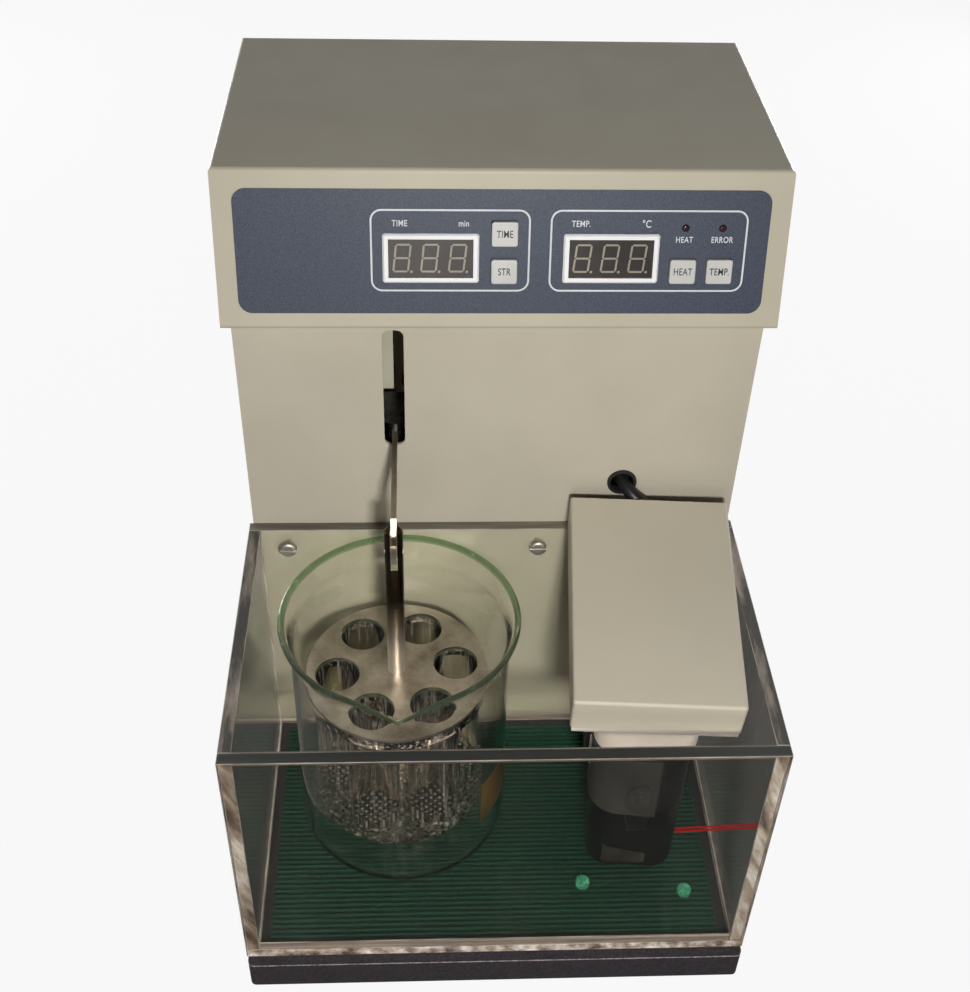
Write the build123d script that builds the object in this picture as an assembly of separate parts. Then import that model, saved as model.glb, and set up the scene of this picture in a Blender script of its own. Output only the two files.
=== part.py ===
from build123d import *
import math
import os

# Tablet disintegration tester. Millimetres, +Z up, origin under the middle of the base at the feet.
# +X is to the right of a person facing the display, +Y points to the back.

# Clearances and small shared sizes
seat_gap = 0.3
running_gap = 0.05
slide_gap = 0.2
cut_overrun = 2.0
sheet = 1.5

# Base with feet and mat
base_width = 246.5
base_depth = 310.0
base_height = 18.3
base_skin = 4.0
base_skirt = 2.5
base_corner = 3.0
boss_size = 28.0
foot_height = 8.0
foot_radius = 12.0
foot_inset = 20.0
foot_recess = 4.0
foot_edge = 1.0
mat_thickness = 1.6
mat_margin = 5.0
mat_rib_pitch = 2.9
mat_rib_gap = 1.2
mat_groove = 0.8

# Water tank of bonded clear sheet
tank_overhang = 0.75
tank_depth = 154.4
tank_wall = 6.0
tank_height = 150.9
tank_front_gap = 4.7

# Column and its rear cover
column_inset = 1.05
column_height = 275.6
column_flange = 12.0
column_rise = 30.0
case_rear_ledge = 4.6
vent_count = 7
vent_length = 60.0
vent_height = 4.0
vent_pitch = 10.0
vent_top_drop = 40.0

# Head over the column
head_overhang = 1.75
head_wall = 2.5
head_height = 70.4
head_lean = 16.2
head_top_setback = 4.2
head_bend = 2.0

# Control panel on the leaning face, measured across and down from its top edge
overlay_width = 232.0
overlay_length = 55.5
overlay_thickness = 0.6
overlay_top = 8.5
overlay_corner = 6.0
display_width = 42.0
display_length = 22.0
display_rise = 1.5
display_sleeve = 1.5
display_sleeve_depth = 5.0
window_width = 37.0
window_length = 17.3
window_recess = 1.1
display_depth = 9.0
display_down = 38.6
time_display_across = -31.5
temp_display_across = 47.25
button_width = 11.5
button_length = 11.0
button_rise = 2.6
button_corner = 1.2
button_travel = 1.2
button_flange = 0.8
button_flange_reach = 1.0
button_stem_radius = 2.0
left_button_across = 0.5
time_button_down = 27.4
start_button_down = 44.2
heat_button_across = 79.0
temp_button_across = 95.2
lower_button_down = 44.0
light_radius = 1.5
light_down = 25.0
heat_light_across = 79.3
error_light_across = 95.5
light_rise = 0.8
board_thickness = 1.6
board_width = 200.0
board_length = 46.0
board_down = 35.5
switch_size = 6.0
switch_height = 3.2

# Lift mechanism behind the column face
slot_offset = -2.1
slot_width = 10.0
slot_bottom = 227.8
slot_top = 294.0
slot_corner = 3.5
stroke = 55.0
arm_thickness = 2.6
arm_top = 236.0
arm_height = 7.2
arm_root = 25.5
rod_guide_radius = 4.0
rod_guide_spread = 19.0
rod_guide_setback = 21.9
rod_guide_bottom = 196.0
rod_guide_top = 356.0
guide_block_height = 10.0
guide_block_overhang = 8.0
lift_body_width = 54.0
lift_body_depth = 16.0
lift_body_height = 17.0
lift_body_bottom = 221.0
lift_nose_radius = 7.5
lift_nose_gap = 1.5
lift_neck_share = 0.8
chassis_setback = 37.9
chassis_sheet = 3.0
chassis_reach_left = 39.0
chassis_edge_gap = 26.2
chassis_top = 362.0
chassis_foot = 22.0
window_reach_left = 1.0
window_reach_right = 27.0
window_bottom = 212.0
window_top = 312.0
wrist_offset = 12.0
wrist_height = 236.0
wrist_radius = 4.0
link_clearance = 0.4
link_length = 55.0
link_thickness = 4.0
link_eye_radius = 9.0
link_web = 10.0
crank_gap = 1.0
crank_thickness = 5.0
crank_radius = 34.0
crank_hub_radius = 9.0
crank_hub_length = 5.0
crank_shaft_radius = 4.0
crank_shaft_length = 22.0
bracket_sheet = 3.0
bracket_half_width = 50.0
bracket_bottom = 272.0
bracket_setback = 56.9
gearbox_width = 60.0
gearbox_height = 62.0
gearbox_depth = 28.0
motor_radius = 24.0
motor_length = 46.0
motor_cap_length = 4.0
motor_boss_radius = 12.0
supply_width = 72.0
supply_depth = 50.0
supply_height = 44.0
supply_offset = -8.0
supply_setback = 62.0
supply_foot = 2.0
supply_coil_share = 0.7
supply_core_share = 0.9
supply_core_depth = 25.0

# Basket rack
basket_setback = -62.4
pin_height = 215.0
pin_radius = 1.6
hook_tip = 2.3
hook_seat = 4.0
hook_tip_rise = 4.0
hook_neck = 9.0
hook_neck_width = 4.0
hook_slope = 14.0
rod_radius = 4.4
rod_top = 227.0
rod_slot_width = 3.3
rod_slot_bottom = 198.0
rod_stud_radius = 3.0
rod_chamfer = 0.8
rod_stud_end = 0.9
rack_top = 135.0
rack_turn = 6.6
rack_radius = 45.0
rack_cover_thickness = 1.5
rack_plate_thickness = 6.0
tube_count = 6
tube_circle = 29.5
tube_hole_radius = 11.0
tube_bore_radius = 10.75
tube_wall = 2.0
tube_length = 77.5
tube_fit_gap = 0.25
mesh_thickness = 0.6
mesh_opening = 2.0
mesh_pitch = 2.7
mesh_field_radius = 9.4
nut_across_flats = 10.0
nut_height = 4.0
disc_radius = 10.35
disc_height = 9.5
disc_float = 0.1
disc_hole_radius = 1.0
disc_hole_circle = 6.0
disc_notch = 2.6
disc_hole_count = 4

# Beaker
beaker_from_side = 77.1
beaker_setback = -64.6
beaker_radius = 53.5
beaker_wall = 1.8
beaker_floor = 3.0
beaker_height = 142.6
beaker_corner = 9.0
beaker_rim_radius = 58.4
beaker_flare = 13.0
beaker_lip = 1.3
spout_reach = 10.5
spout_drop = 24.0
spout_root_radius = 9.0
spout_mouth_radius = 14.0

# Tank screws, level mark and floor studs
tank_screw_drop = 12.2
tank_screw_inset = 19.2
tank_screw_middle = 23.9
screw_head_radius = 4.5
screw_head_height = 2.6
screw_head_round = 1.5
screw_shank_radius = 2.0
screw_length = 14.0
screw_slot = 1.0
screw_slot_depth = 1.1
level_from_side = 8.0
level_width = 38.0
level_height = 126.8
level_tilt = 3.4
level_line = 1.1
level_spacing = 2.3
level_thickness = 0.4
stud_radius = 3.6
stud_height = 3.4
stud_round = 1.1
stud_offsets = [(-27.1, -35.9), (24.9, -41.8)]

# Circulating pump and its hood
pump_turn = 3.7
pump_from_side = 51.0
pump_setback = -82.0
cup_width = 45.0
cup_depth = 52.0
cup_corner = 12.0
cup_height = 49.0
pump_body_width = 47.0
pump_body_depth = 54.0
pump_body_corner = 13.0
pump_body_height = 40.2
pump_head_width = 50.5
pump_head_depth = 57.0
pump_head_corner = 10.5
pump_head_round = 6.0
clip_width = 3.0
clip_length = 12.0
clip_height = 20.0
hood_offset = 4.3
hood_setback = -11.4
hood_height = 200.7
hood_slope = 10.1
hood_width = 78.3
hood_length = 118.3
hood_skirt = 22.0
hood_bend = 1.6
hood_floor_thickness = 4.2
hood_floor_inset = 0.8
hood_floor_length = 112.0
probe_radius = 2.5
probe_length = 96.0
probe_across = 22.0
probe_back = 20.0
heater_radius = 4.5
heater_spread = 14.0
heater_bend_share = 0.9
heater_drop = 112.0
heater_back = 33.0
gland_width = 14.0
gland_length = 6.0
gland_height = 10.0
gland_across = 5.0
gland_back = 30.0

# Cable from the column to the hood
cable_radius = 3.5
cable_hole_offset = -12.6
cable_hole_rise = 26.4
grommet_flange_radius = 7.4
grommet_radius = 6.6
grommet_bore_radius = 6.0
grommet_lip = 1.2
cable_run_share = 0.45
cable_bends = [(-7.0, 23.9, 6.4), (2.3, -6.1, -2.1), (14.8, -8.5, -11.1)]

# Power inlet with its rocker switch, on the rear cover
inlet_from_side = 62.2
inlet_height = 70.0
inlet_width = 60.0
inlet_tall = 32.0
inlet_flange = 2.0
inlet_body_inset = 2.0
inlet_body_depth = 24.0
socket_width = 24.0
socket_tall = 17.0
socket_depth = 19.0
socket_offset = 12.0
blade_width = 2.0
blade_tall = 4.0
blade_length = 13.0
blade_spread = 7.0
blade_rise = 2.0
rocker_offset = 16.0
rocker_radius = 10.6
rocker_width = 13.4
rocker_pivot_depth = 7.4
rocker_pin_radius = 1.5
rocker_pin_length = 1.2
rocker_crown = 9.4
rocker_edge = 5.2
rocker_edge_share = 0.85
rocker_rest_tilt = 9.0

# Case screws
case_screw_rise = 12.0
case_screw_inset = 6.0
case_screw_length = 8.0

# Widths, heights and places that follow
tank_width = base_width + 2 * tank_overhang
column_width = base_width - 2 * column_inset
head_width = base_width + 2 * head_overhang
beaker_across = -tank_width / 2 + beaker_from_side
slot_across = beaker_across + slot_offset
wrist_across = slot_across + wrist_offset
window_left = slot_across - window_reach_left
window_right = slot_across + window_reach_right
chassis_left = slot_across - chassis_reach_left
chassis_right = column_width / 2 - chassis_edge_gap
pump_across = tank_width / 2 - pump_from_side
hood_across = pump_across + hood_offset
cable_hole_across = hood_across + cable_hole_offset
inlet_across = column_width / 2 - inlet_from_side
supply_across = inlet_across + supply_offset
level_right = tank_width / 2 - level_from_side
tank_screw_edge = tank_width / 2 - tank_screw_inset
tank_screw_acrosses = [-tank_screw_edge, tank_screw_middle, tank_screw_edge]
base_bottom = foot_height
deck = base_bottom + base_height
base_front = -base_depth / 2
case_back = base_depth / 2 - case_rear_ledge
tank_front = base_front + tank_front_gap
column_front = tank_front + tank_depth
tank_floor_top = deck + tank_wall
tank_top = deck + tank_height
tank_screw_height = tank_top - tank_screw_drop
cable_hole_height = tank_top + cable_hole_rise
head_bottom = deck + column_height
head_top = head_bottom + head_height
cover_seat = case_back - head_wall
chassis_front = column_front + chassis_setback
lift_axis_y = column_front + rod_guide_setback
pin_y = column_front + basket_setback
lean_angle = math.degrees(math.atan2(head_lean, head_height))


def span(x_range, y_range, z_range):
    """A box between two values on each axis."""
    sizes = [high - low for low, high in (x_range, y_range, z_range)]
    middle = [(low + high) / 2 for low, high in (x_range, y_range, z_range)]
    return Pos(*middle) * Box(*sizes)


def bar(radius, length, start, along="Z"):
    """A round bar that begins at a point and runs along a positive axis."""
    turn = {"X": Rot(0, 90, 0), "Y": Rot(-90, 0, 0), "Z": Rot(0, 0, 0)}[along]
    lifted = Cylinder(radius, length, align=(Align.CENTER, Align.CENTER, Align.MIN))
    return Pos(*start) * turn * lifted


def rounded_bar(width, depth, corner, height):
    """An upright bar of rounded rectangular section that stands on its origin."""
    return extrude(RectangleRounded(width, depth, corner), height)


def profile_along_x(points, low, high):
    """A solid from a side outline of (y, z) points, between two places across."""
    outline = make_face(Polyline([(0, y, z) for y, z in points], close=True))
    return Pos(low, 0, 0) * extrude(outline, high - low, dir=(1, 0, 0))


def pan_screw(length):
    """A slotted screw whose head stands above the origin and whose shank hangs below."""
    head = bar(screw_head_radius, screw_head_height, (0, 0, 0))
    head = fillet(head.edges().group_by(Axis.Z)[-1], screw_head_round)
    half = screw_head_radius + cut_overrun
    top = screw_head_height
    head -= span((-half, half), (-screw_slot / 2, screw_slot / 2), (top - screw_slot_depth, top + cut_overrun))
    shank = bar(screw_shank_radius, length, (0, 0, -length))
    return head + shank


def gather(solids):
    """Separate solids kept side by side in one node."""
    return Compound(children=[part.solid() for part in solids])


# Base

def make_base():
    """Pressed base tray with a corner boss over each foot and a seat for the mat."""
    half = base_width / 2
    body = span((-half, half), (base_front, -base_front), (base_bottom, deck))
    body = fillet(body.edges().filter_by(Axis.Z), base_corner)
    inner = half - base_skirt
    room = span((-inner, inner), (base_front + base_skirt, -base_front - base_skirt),
                (base_bottom - cut_overrun, deck - base_skin))
    for side in (-1, 1):
        for end in (-1, 1):
            x = side * (half - boss_size / 2)
            y = end * (base_depth / 2 - boss_size / 2)
            room -= span((x - boss_size / 2, x + boss_size / 2), (y - boss_size / 2, y + boss_size / 2),
                         (base_bottom - cut_overrun, deck))
    body -= room
    mat_x, mat_y = mat_reach()
    body -= span(mat_x, mat_y, (deck - mat_thickness, deck + cut_overrun))
    for x, y in foot_places():
        body -= bar(screw_shank_radius + running_gap, case_screw_length + cut_overrun,
                    (x, y, base_bottom - cut_overrun))
    return body


def mat_reach():
    """The mat's spread across and along, inside the tank's outline."""
    half = tank_width / 2 - tank_wall - mat_margin
    return (-half, half), (tank_front + tank_wall + mat_margin, column_front - tank_wall - mat_margin)


def make_mat():
    """Ribbed rubber mat that shows through the clear tank floor."""
    mat_x, mat_y = mat_reach()
    mat = span(mat_x, mat_y, (deck - mat_thickness, deck))
    run = mat_y[1] - mat_y[0]
    count = int(run / mat_rib_pitch)
    first = mat_y[0] + (run - (count - 1) * mat_rib_pitch) / 2
    grooves = []
    for index in range(count):
        y = first + index * mat_rib_pitch
        grooves.append(span((mat_x[0] - cut_overrun, mat_x[1] + cut_overrun),
                            (y - mat_rib_gap / 2, y + mat_rib_gap / 2),
                            (deck - mat_groove, deck + cut_overrun)))
    return mat - grooves


def foot_places():
    """Centres of the four feet."""
    x = base_width / 2 - foot_inset
    y = base_depth / 2 - foot_inset
    return [(x, y), (-x, y), (-x, -y), (x, -y)]


def make_feet():
    """Four rubber feet with a recess for the screw head."""
    feet = []
    for x, y in foot_places():
        foot = bar(foot_radius, foot_height, (x, y, 0))
        foot = chamfer(foot.edges().group_by(Axis.Z)[0], foot_edge)
        foot -= bar(screw_head_radius + seat_gap, foot_recess + cut_overrun, (x, y, -cut_overrun))
        foot -= bar(screw_shank_radius + running_gap, foot_height, (x, y, foot_recess / 2))
        feet.append(foot)
    return gather(feet)


# Tank

def make_tank_front():
    """Front sheet of the tank."""
    half = tank_width / 2
    return span((-half, half), (tank_front, tank_front + tank_wall), (deck, tank_top))


def make_tank_back():
    """Back sheet of the tank, bored for the screws that hold it to the column."""
    half = tank_width / 2
    wall = span((-half, half), (column_front - tank_wall, column_front), (deck, tank_top))
    for x in tank_screw_acrosses:
        wall -= bar(screw_shank_radius + running_gap, tank_wall + 2 * cut_overrun,
                    (x, column_front - tank_wall - cut_overrun, tank_screw_height), "Y")
    return wall


def make_tank_sides():
    """Two side sheets between the front and the back."""
    half = tank_width / 2
    y_range = (tank_front + tank_wall, column_front - tank_wall)
    left = span((-half, -half + tank_wall), y_range, (deck, tank_top))
    right = span((half - tank_wall, half), y_range, (deck, tank_top))
    return gather([left, right])


def make_tank_floor():
    """Clear floor sheet inside the four walls."""
    half = tank_width / 2 - tank_wall
    return span((-half, half), (tank_front + tank_wall, column_front - tank_wall), (deck, tank_floor_top))


def make_tank_screws():
    """Slotted screws through the tank's back sheet into the column."""
    screws = []
    for x in tank_screw_acrosses:
        place = Pos(x, column_front - tank_wall, tank_screw_height) * Rot(90, 0, 0)
        screws.append(place * pan_screw(screw_length))
    return gather(screws)


def make_level_mark():
    """Two thin red lines that mark the water level on the front sheet."""
    half = level_width / 2
    middle = level_right - half
    lines = []
    for side in (-1, 1):
        z = side * level_spacing / 2
        line = span((-half, half), (-level_thickness, 0), (z - level_line / 2, z + level_line / 2))
        lines.append(Pos(middle, tank_front, level_height) * Rot(0, -level_tilt, 0) * line)
    return gather(lines)


def make_floor_studs():
    """Two clear studs that keep the pump from sliding forward."""
    studs = []
    for across, along in stud_offsets:
        place = (pump_across + across, column_front + pump_setback + along, tank_floor_top)
        stud = bar(stud_radius, stud_height, place)
        studs.append(fillet(stud.edges().group_by(Axis.Z)[-1], stud_round))
    return gather(studs)


# Column

def make_column():
    """Folded front and sides of the column, with rear flanges for the cover."""
    half = column_width / 2
    inner = half - sheet
    front_top = head_bottom + head_wall
    flange_top = head_bottom + column_rise
    front = span((-half, half), (column_front, column_front + sheet), (deck, front_top))
    shell = front
    for side in (-1, 1):
        x_wall = sorted((side * half, side * inner))
        shell += span(x_wall, (column_front, cover_seat), (deck, front_top))
        shell += span(x_wall, (chassis_front, cover_seat), (deck, flange_top))
        x_flange = sorted((side * half, side * (half - column_flange)))
        shell += span(x_flange, (cover_seat - sheet, cover_seat), (deck, flange_top))
    slot_mid = (slot_bottom + slot_top) / 2
    slot = extrude(RectangleRounded(slot_width, slot_top - slot_bottom, slot_corner), 4 * cut_overrun, both=True)
    shell -= Pos(slot_across, column_front, slot_mid) * Rot(90, 0, 0) * slot
    through = sheet + 2 * cut_overrun
    shell -= bar(grommet_radius, through,
                 (cable_hole_across, column_front - cut_overrun, cable_hole_height), "Y")
    for x in tank_screw_acrosses:
        shell -= bar(screw_shank_radius + running_gap, through,
                     (x, column_front - cut_overrun, tank_screw_height), "Y")
    for x, z in cover_screw_places() + head_screw_places():
        shell -= bar(screw_shank_radius + running_gap, through, (x, cover_seat - sheet - cut_overrun, z), "Y")
    return shell


def cover_screw_places():
    """Rear cover screws on both flanges, as (x, z)."""
    x = column_width / 2 - case_screw_inset
    heights = [deck + case_screw_rise, (deck + head_bottom) / 2, head_bottom - case_screw_rise]
    return [(side * x, z) for side in (-1, 1) for z in heights]


def head_screw_places():
    """Screws that hold the head to the top of the flanges, as (x, z)."""
    x = column_width / 2 - case_screw_inset
    return [(side * x, head_bottom + column_rise / 2) for side in (-1, 1)]


def make_rear_cover():
    """Flat rear cover with cooling slots and the inlet's opening."""
    half = column_width / 2
    cover = span((-half, half), (cover_seat, cover_seat + sheet), (deck, head_bottom - seat_gap))
    through = sheet + 2 * cut_overrun
    for x, z in cover_screw_places():
        cover -= bar(screw_shank_radius + running_gap, through, (x, cover_seat - cut_overrun, z), "Y")
    slots = []
    for side in (-1, 1):
        for index in range(vent_count):
            z = head_bottom - vent_top_drop - index * vent_pitch
            slots.append(span((side * half / 2 - vent_length / 2, side * half / 2 + vent_length / 2),
                              (cover_seat - cut_overrun, cover_seat + sheet + cut_overrun),
                              (z - vent_height / 2, z + vent_height / 2)))
    body_half = inlet_width / 2 - inlet_body_inset + slide_gap
    body_tall = inlet_tall / 2 - inlet_body_inset + slide_gap
    slots.append(span((inlet_across - body_half, inlet_across + body_half),
                      (cover_seat - cut_overrun, cover_seat + sheet + cut_overrun),
                      (inlet_height - body_tall, inlet_height + body_tall)))
    return cover - slots


def make_case_screws():
    """Screws of the feet, the rear cover and the head."""
    screws = []
    for x, y in foot_places():
        screws.append(Pos(x, y, foot_recess) * Rot(180, 0, 0) * pan_screw(case_screw_length))
    for x, z in cover_screw_places():
        screws.append(Pos(x, cover_seat + sheet, z) * Rot(-90, 0, 0) * pan_screw(case_screw_length))
    for x, z in head_screw_places():
        screws.append(Pos(x, case_back, z) * Rot(-90, 0, 0) * pan_screw(case_screw_length))
    return gather(screws)


# Head and control panel

def head_outline(inset):
    """Side outline of the head, drawn in by a wall."""
    top_front = column_front + head_top_setback
    slant = inset / math.cos(math.radians(lean_angle))
    foot = inset * head_lean / head_height
    return [(top_front + slant - foot, head_top - inset),
            (case_back - inset, head_top - inset),
            (case_back - inset, head_bottom + inset),
            (top_front - head_lean + slant + foot, head_bottom + inset)]


def make_head():
    """Folded head cover, open below over the column, pierced for the controls."""
    half = head_width / 2
    body = profile_along_x(head_outline(0), -half, half)
    top_edges = body.edges().group_by(Axis.Z)[-1]
    front_edge = body.edges().filter_by(Axis.X).group_by(Axis.Z)[0].sort_by(Axis.Y)[0]
    body = fillet(list(top_edges) + [front_edge], head_bend)
    body -= profile_along_x(head_outline(head_wall), -half + head_wall, half - head_wall)
    body -= span((-half + head_wall, half - head_wall), (column_front - seat_gap, cover_seat),
                 (head_bottom - cut_overrun, head_bottom + head_wall + cut_overrun))
    for cutter in panel_cutters(head_wall):
        body -= on_panel(cutter)
    for x, z in head_screw_places():
        body -= bar(screw_shank_radius + running_gap, head_wall + 2 * cut_overrun,
                    (x, cover_seat - cut_overrun, z), "Y")
    return body


def on_panel(shape):
    """Place a shape drawn flat, x across, y up the face and z out of it, on the leaning face."""
    top = Pos(0, column_front + head_top_setback, head_top)
    return top * Rot(90 - lean_angle, 0, 0) * shape


def button_places():
    """Name, place across and place down the face of each button."""
    return [("time_button", left_button_across, time_button_down),
            ("start_button", left_button_across, start_button_down),
            ("heat_button", heat_button_across, lower_button_down),
            ("temp_button", temp_button_across, lower_button_down)]


def panel_cutters(depth):
    """Openings for displays, buttons and lights through a plate of one thickness."""
    cutters = []
    drop = depth + cut_overrun
    sleeve_x = window_width + 2 * display_sleeve + 2 * slide_gap
    sleeve_y = window_length + 2 * display_sleeve + 2 * slide_gap
    for x in (time_display_across, temp_display_across):
        cutters.append(Pos(x, -display_down, -drop) * rounded_bar(sleeve_x, sleeve_y, button_corner,
                                                                 drop + cut_overrun))
    for name, x, down in button_places():
        cutters.append(Pos(x, -down, -drop) * rounded_bar(button_width + 2 * slide_gap,
                                                          button_length + 2 * slide_gap,
                                                          button_corner, drop + cut_overrun))
    for x in (heat_light_across, error_light_across):
        cutters.append(bar(light_radius + slide_gap, drop + cut_overrun, (x, -light_down, -drop)))
    return cutters


def make_overlay():
    """Printed panel sheet on the leaning face."""
    plate = rounded_bar(overlay_width, overlay_length, overlay_corner, overlay_thickness)
    plate = Pos(0, -overlay_top - overlay_length / 2, 0) * plate
    for cutter in panel_cutters(cut_overrun):
        plate -= cutter
    return on_panel(plate)


def make_display_frames():
    """Raised frame round each display, with a sleeve through the panel."""
    frames = []
    for x in (time_display_across, temp_display_across):
        rim = rounded_bar(display_width, display_length, button_corner, display_rise)
        rim = Pos(0, 0, overlay_thickness) * rim
        rim = chamfer(rim.edges().group_by(Axis.Z)[-1], display_rise / 2)
        sleeve = rounded_bar(window_width + 2 * display_sleeve, window_length + 2 * display_sleeve,
                             button_corner, display_sleeve_depth + overlay_thickness)
        frame = rim + Pos(0, 0, -display_sleeve_depth) * sleeve
        half_x = window_width / 2
        half_y = window_length / 2
        frame -= span((-half_x, half_x), (-half_y, half_y),
                      (-display_sleeve_depth - cut_overrun, overlay_thickness + display_rise + cut_overrun))
        frames.append(on_panel(Pos(x, -display_down, 0) * frame))
    return gather(frames)


def board_front():
    """Depth of the control board's front face behind the panel."""
    return -(display_depth - (overlay_thickness + display_rise - window_recess))


def make_displays():
    """Two three-digit display blocks that stand on the board inside their frames."""
    blocks = []
    front = overlay_thickness + display_rise - window_recess
    half_x = window_width / 2 - running_gap
    half_y = window_length / 2 - running_gap
    for x in (time_display_across, temp_display_across):
        block = span((x - half_x, x + half_x), (-display_down - half_y, -display_down + half_y),
                     (board_front(), front))
        blocks.append(on_panel(block))
    return gather(blocks)


def make_lights():
    """Round indicator lights on the board."""
    lights = []
    for x in (heat_light_across, error_light_across):
        tall = overlay_thickness + light_rise - board_front()
        light = bar(light_radius, tall, (x, -light_down, board_front()))
        light = fillet(light.edges().group_by(Axis.Z)[-1], light_rise)
        lights.append(on_panel(light))
    return gather(lights)


def make_button(across, down):
    """One square cap with a stem that reaches its switch."""
    top = overlay_thickness + button_rise
    under = -head_wall - running_gap
    cap = Pos(0, 0, under) * rounded_bar(button_width, button_length, button_corner, top - under)
    cap = fillet(cap.edges().group_by(Axis.Z)[-1], button_corner / 2)
    cap += Pos(0, 0, under - button_flange) * rounded_bar(button_width + 2 * button_flange_reach,
                                                         button_length + 2 * button_flange_reach,
                                                         button_corner, button_flange)
    switch_top = board_front() + switch_height
    cap += bar(button_stem_radius, under - switch_top - button_travel - disc_float,
               (0, 0, switch_top + button_travel + disc_float))
    return on_panel(Pos(across, -down, 0) * cap)


def make_board():
    """Control board with the four push switches."""
    front = board_front()
    half_y = board_length / 2
    board = span((-board_width / 2, board_width / 2), (-board_down - half_y, -board_down + half_y),
                 (front - board_thickness, front))
    half = switch_size / 2
    for name, x, down in button_places():
        board += span((x - half, x + half), (-down - half, -down + half),
                      (front, front + switch_height - button_travel))
        board += bar(button_stem_radius, button_travel, (x, -down, front + switch_height - button_travel))
    return on_panel(board)


# Lift mechanism

def make_chassis():
    """Upright plate that carries the lift and the drive, with a foot on the base."""
    plate = span((chassis_left, chassis_right), (chassis_front, chassis_front + chassis_sheet),
                 (deck, chassis_top))
    plate += span((chassis_left, chassis_right), (chassis_front, chassis_front + chassis_foot),
                  (deck, deck + chassis_sheet))
    plate -= span((window_left, window_right), (chassis_front - cut_overrun, chassis_front + chassis_sheet
                                                + cut_overrun), (window_bottom, window_top))
    return plate


def guide_acrosses():
    """Places across of the two guide rods."""
    return [slot_across - rod_guide_spread, slot_across + rod_guide_spread]


def make_guide_rods():
    """Two upright rods that the lift block slides on."""
    tall = rod_guide_top - rod_guide_bottom
    return gather([bar(rod_guide_radius, tall, (x, lift_axis_y, rod_guide_bottom)) for x in guide_acrosses()])


def make_guide_blocks():
    """Lower and upper block that hold the rods off the chassis."""
    left, right = guide_acrosses()
    reach = guide_block_overhang + rod_guide_radius
    blocks = []
    for z in (rod_guide_bottom, rod_guide_top - guide_block_height):
        block = span((left - reach, right + reach), (lift_axis_y - guide_block_overhang, chassis_front),
                     (z, z + guide_block_height))
        for x in (left, right):
            block -= bar(rod_guide_radius, guide_block_height + 2 * cut_overrun,
                         (x, lift_axis_y, z - cut_overrun))
        blocks.append(block)
    return gather(blocks)


def make_lift_block():
    """Sliding block with a round nose behind the slot and the wrist pin of the link."""
    half = lift_body_width / 2
    half_depth = lift_body_depth / 2
    top = lift_body_bottom + lift_body_height
    body = span((slot_across - half, slot_across + half),
                (lift_axis_y - half_depth, lift_axis_y + half_depth),
                (lift_body_bottom, top))
    nose_y = column_front + sheet + lift_nose_gap + lift_nose_radius
    body += bar(lift_nose_radius, lift_body_height, (slot_across, nose_y, lift_body_bottom))
    neck = lift_nose_radius * lift_neck_share
    body += span((slot_across - neck, slot_across + neck), (nose_y, lift_axis_y), (lift_body_bottom, top))
    for x in guide_acrosses():
        body -= bar(rod_guide_radius + running_gap, lift_body_height + 2 * cut_overrun,
                    (x, lift_axis_y, lift_body_bottom - cut_overrun))
    arm_half = arm_thickness / 2
    body -= span((slot_across - arm_half, slot_across + arm_half),
                 (column_front, column_front + arm_root), (arm_top - arm_height, arm_top))
    pin_start = lift_axis_y + half_depth
    pin_end = chassis_front + chassis_sheet + 2 * link_clearance
    body += bar(wrist_radius, pin_end - pin_start, (wrist_across, pin_start, wrist_height), "Y")
    return body


def make_lift_arm():
    """Flat arm on edge, hooked at its front under the basket's pin."""
    notch = pin_radius + running_gap
    tip_rear = pin_y - notch
    tip_front = tip_rear - hook_tip
    seat = pin_height - notch
    underside = seat - hook_seat
    neck_front = pin_y + notch
    neck_rear = neck_front + hook_neck_width
    points = [(column_front + arm_root, arm_top),
              (column_front, arm_top),
              (neck_rear, rod_top + hook_tip),
              (neck_front, seat + hook_neck),
              (neck_front, seat),
              (tip_rear, seat),
              (tip_rear, pin_height + hook_tip_rise),
              (tip_front, pin_height + hook_tip_rise),
              (tip_front, underside),
              (neck_rear, underside),
              (neck_rear + hook_slope, arm_top - arm_height - hook_seat),
              (column_front, arm_top - arm_height),
              (column_front + arm_root, arm_top - arm_height)]
    return profile_along_x(points, slot_across - arm_thickness / 2, slot_across + arm_thickness / 2)


def link_front():
    """Front face of the connecting link."""
    return chassis_front + chassis_sheet + 3 * link_clearance


def crank_height():
    """Height of the crank's axis: the crank pin is at its lowest at rest."""
    return wrist_height + link_length + stroke / 2


def make_link():
    """Connecting link between the crank pin and the wrist pin."""
    y = link_front()
    link = bar(link_eye_radius, link_thickness, (wrist_across, y, wrist_height), "Y")
    link += bar(link_eye_radius, link_thickness, (wrist_across, y, wrist_height + link_length), "Y")
    link += span((wrist_across - link_web / 2, wrist_across + link_web / 2), (y, y + link_thickness),
                 (wrist_height, wrist_height + link_length))
    for z in (wrist_height, wrist_height + link_length):
        link -= bar(wrist_radius + running_gap, link_thickness + 2 * cut_overrun,
                    (wrist_across, y - cut_overrun, z), "Y")
    return link


def make_crank():
    """Crank disc with its pin in front and its hub and shaft behind."""
    y = link_front() + link_thickness + crank_gap
    z = crank_height()
    crank = bar(crank_radius, crank_thickness, (wrist_across, y, z), "Y")
    pin_length = link_thickness + crank_gap
    crank += bar(wrist_radius, pin_length, (wrist_across, y - pin_length, z - stroke / 2), "Y")
    crank += bar(crank_hub_radius, crank_thickness + crank_hub_length, (wrist_across, y, z), "Y")
    crank += bar(crank_shaft_radius, crank_thickness + crank_shaft_length, (wrist_across, y, z), "Y")
    return crank


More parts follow.
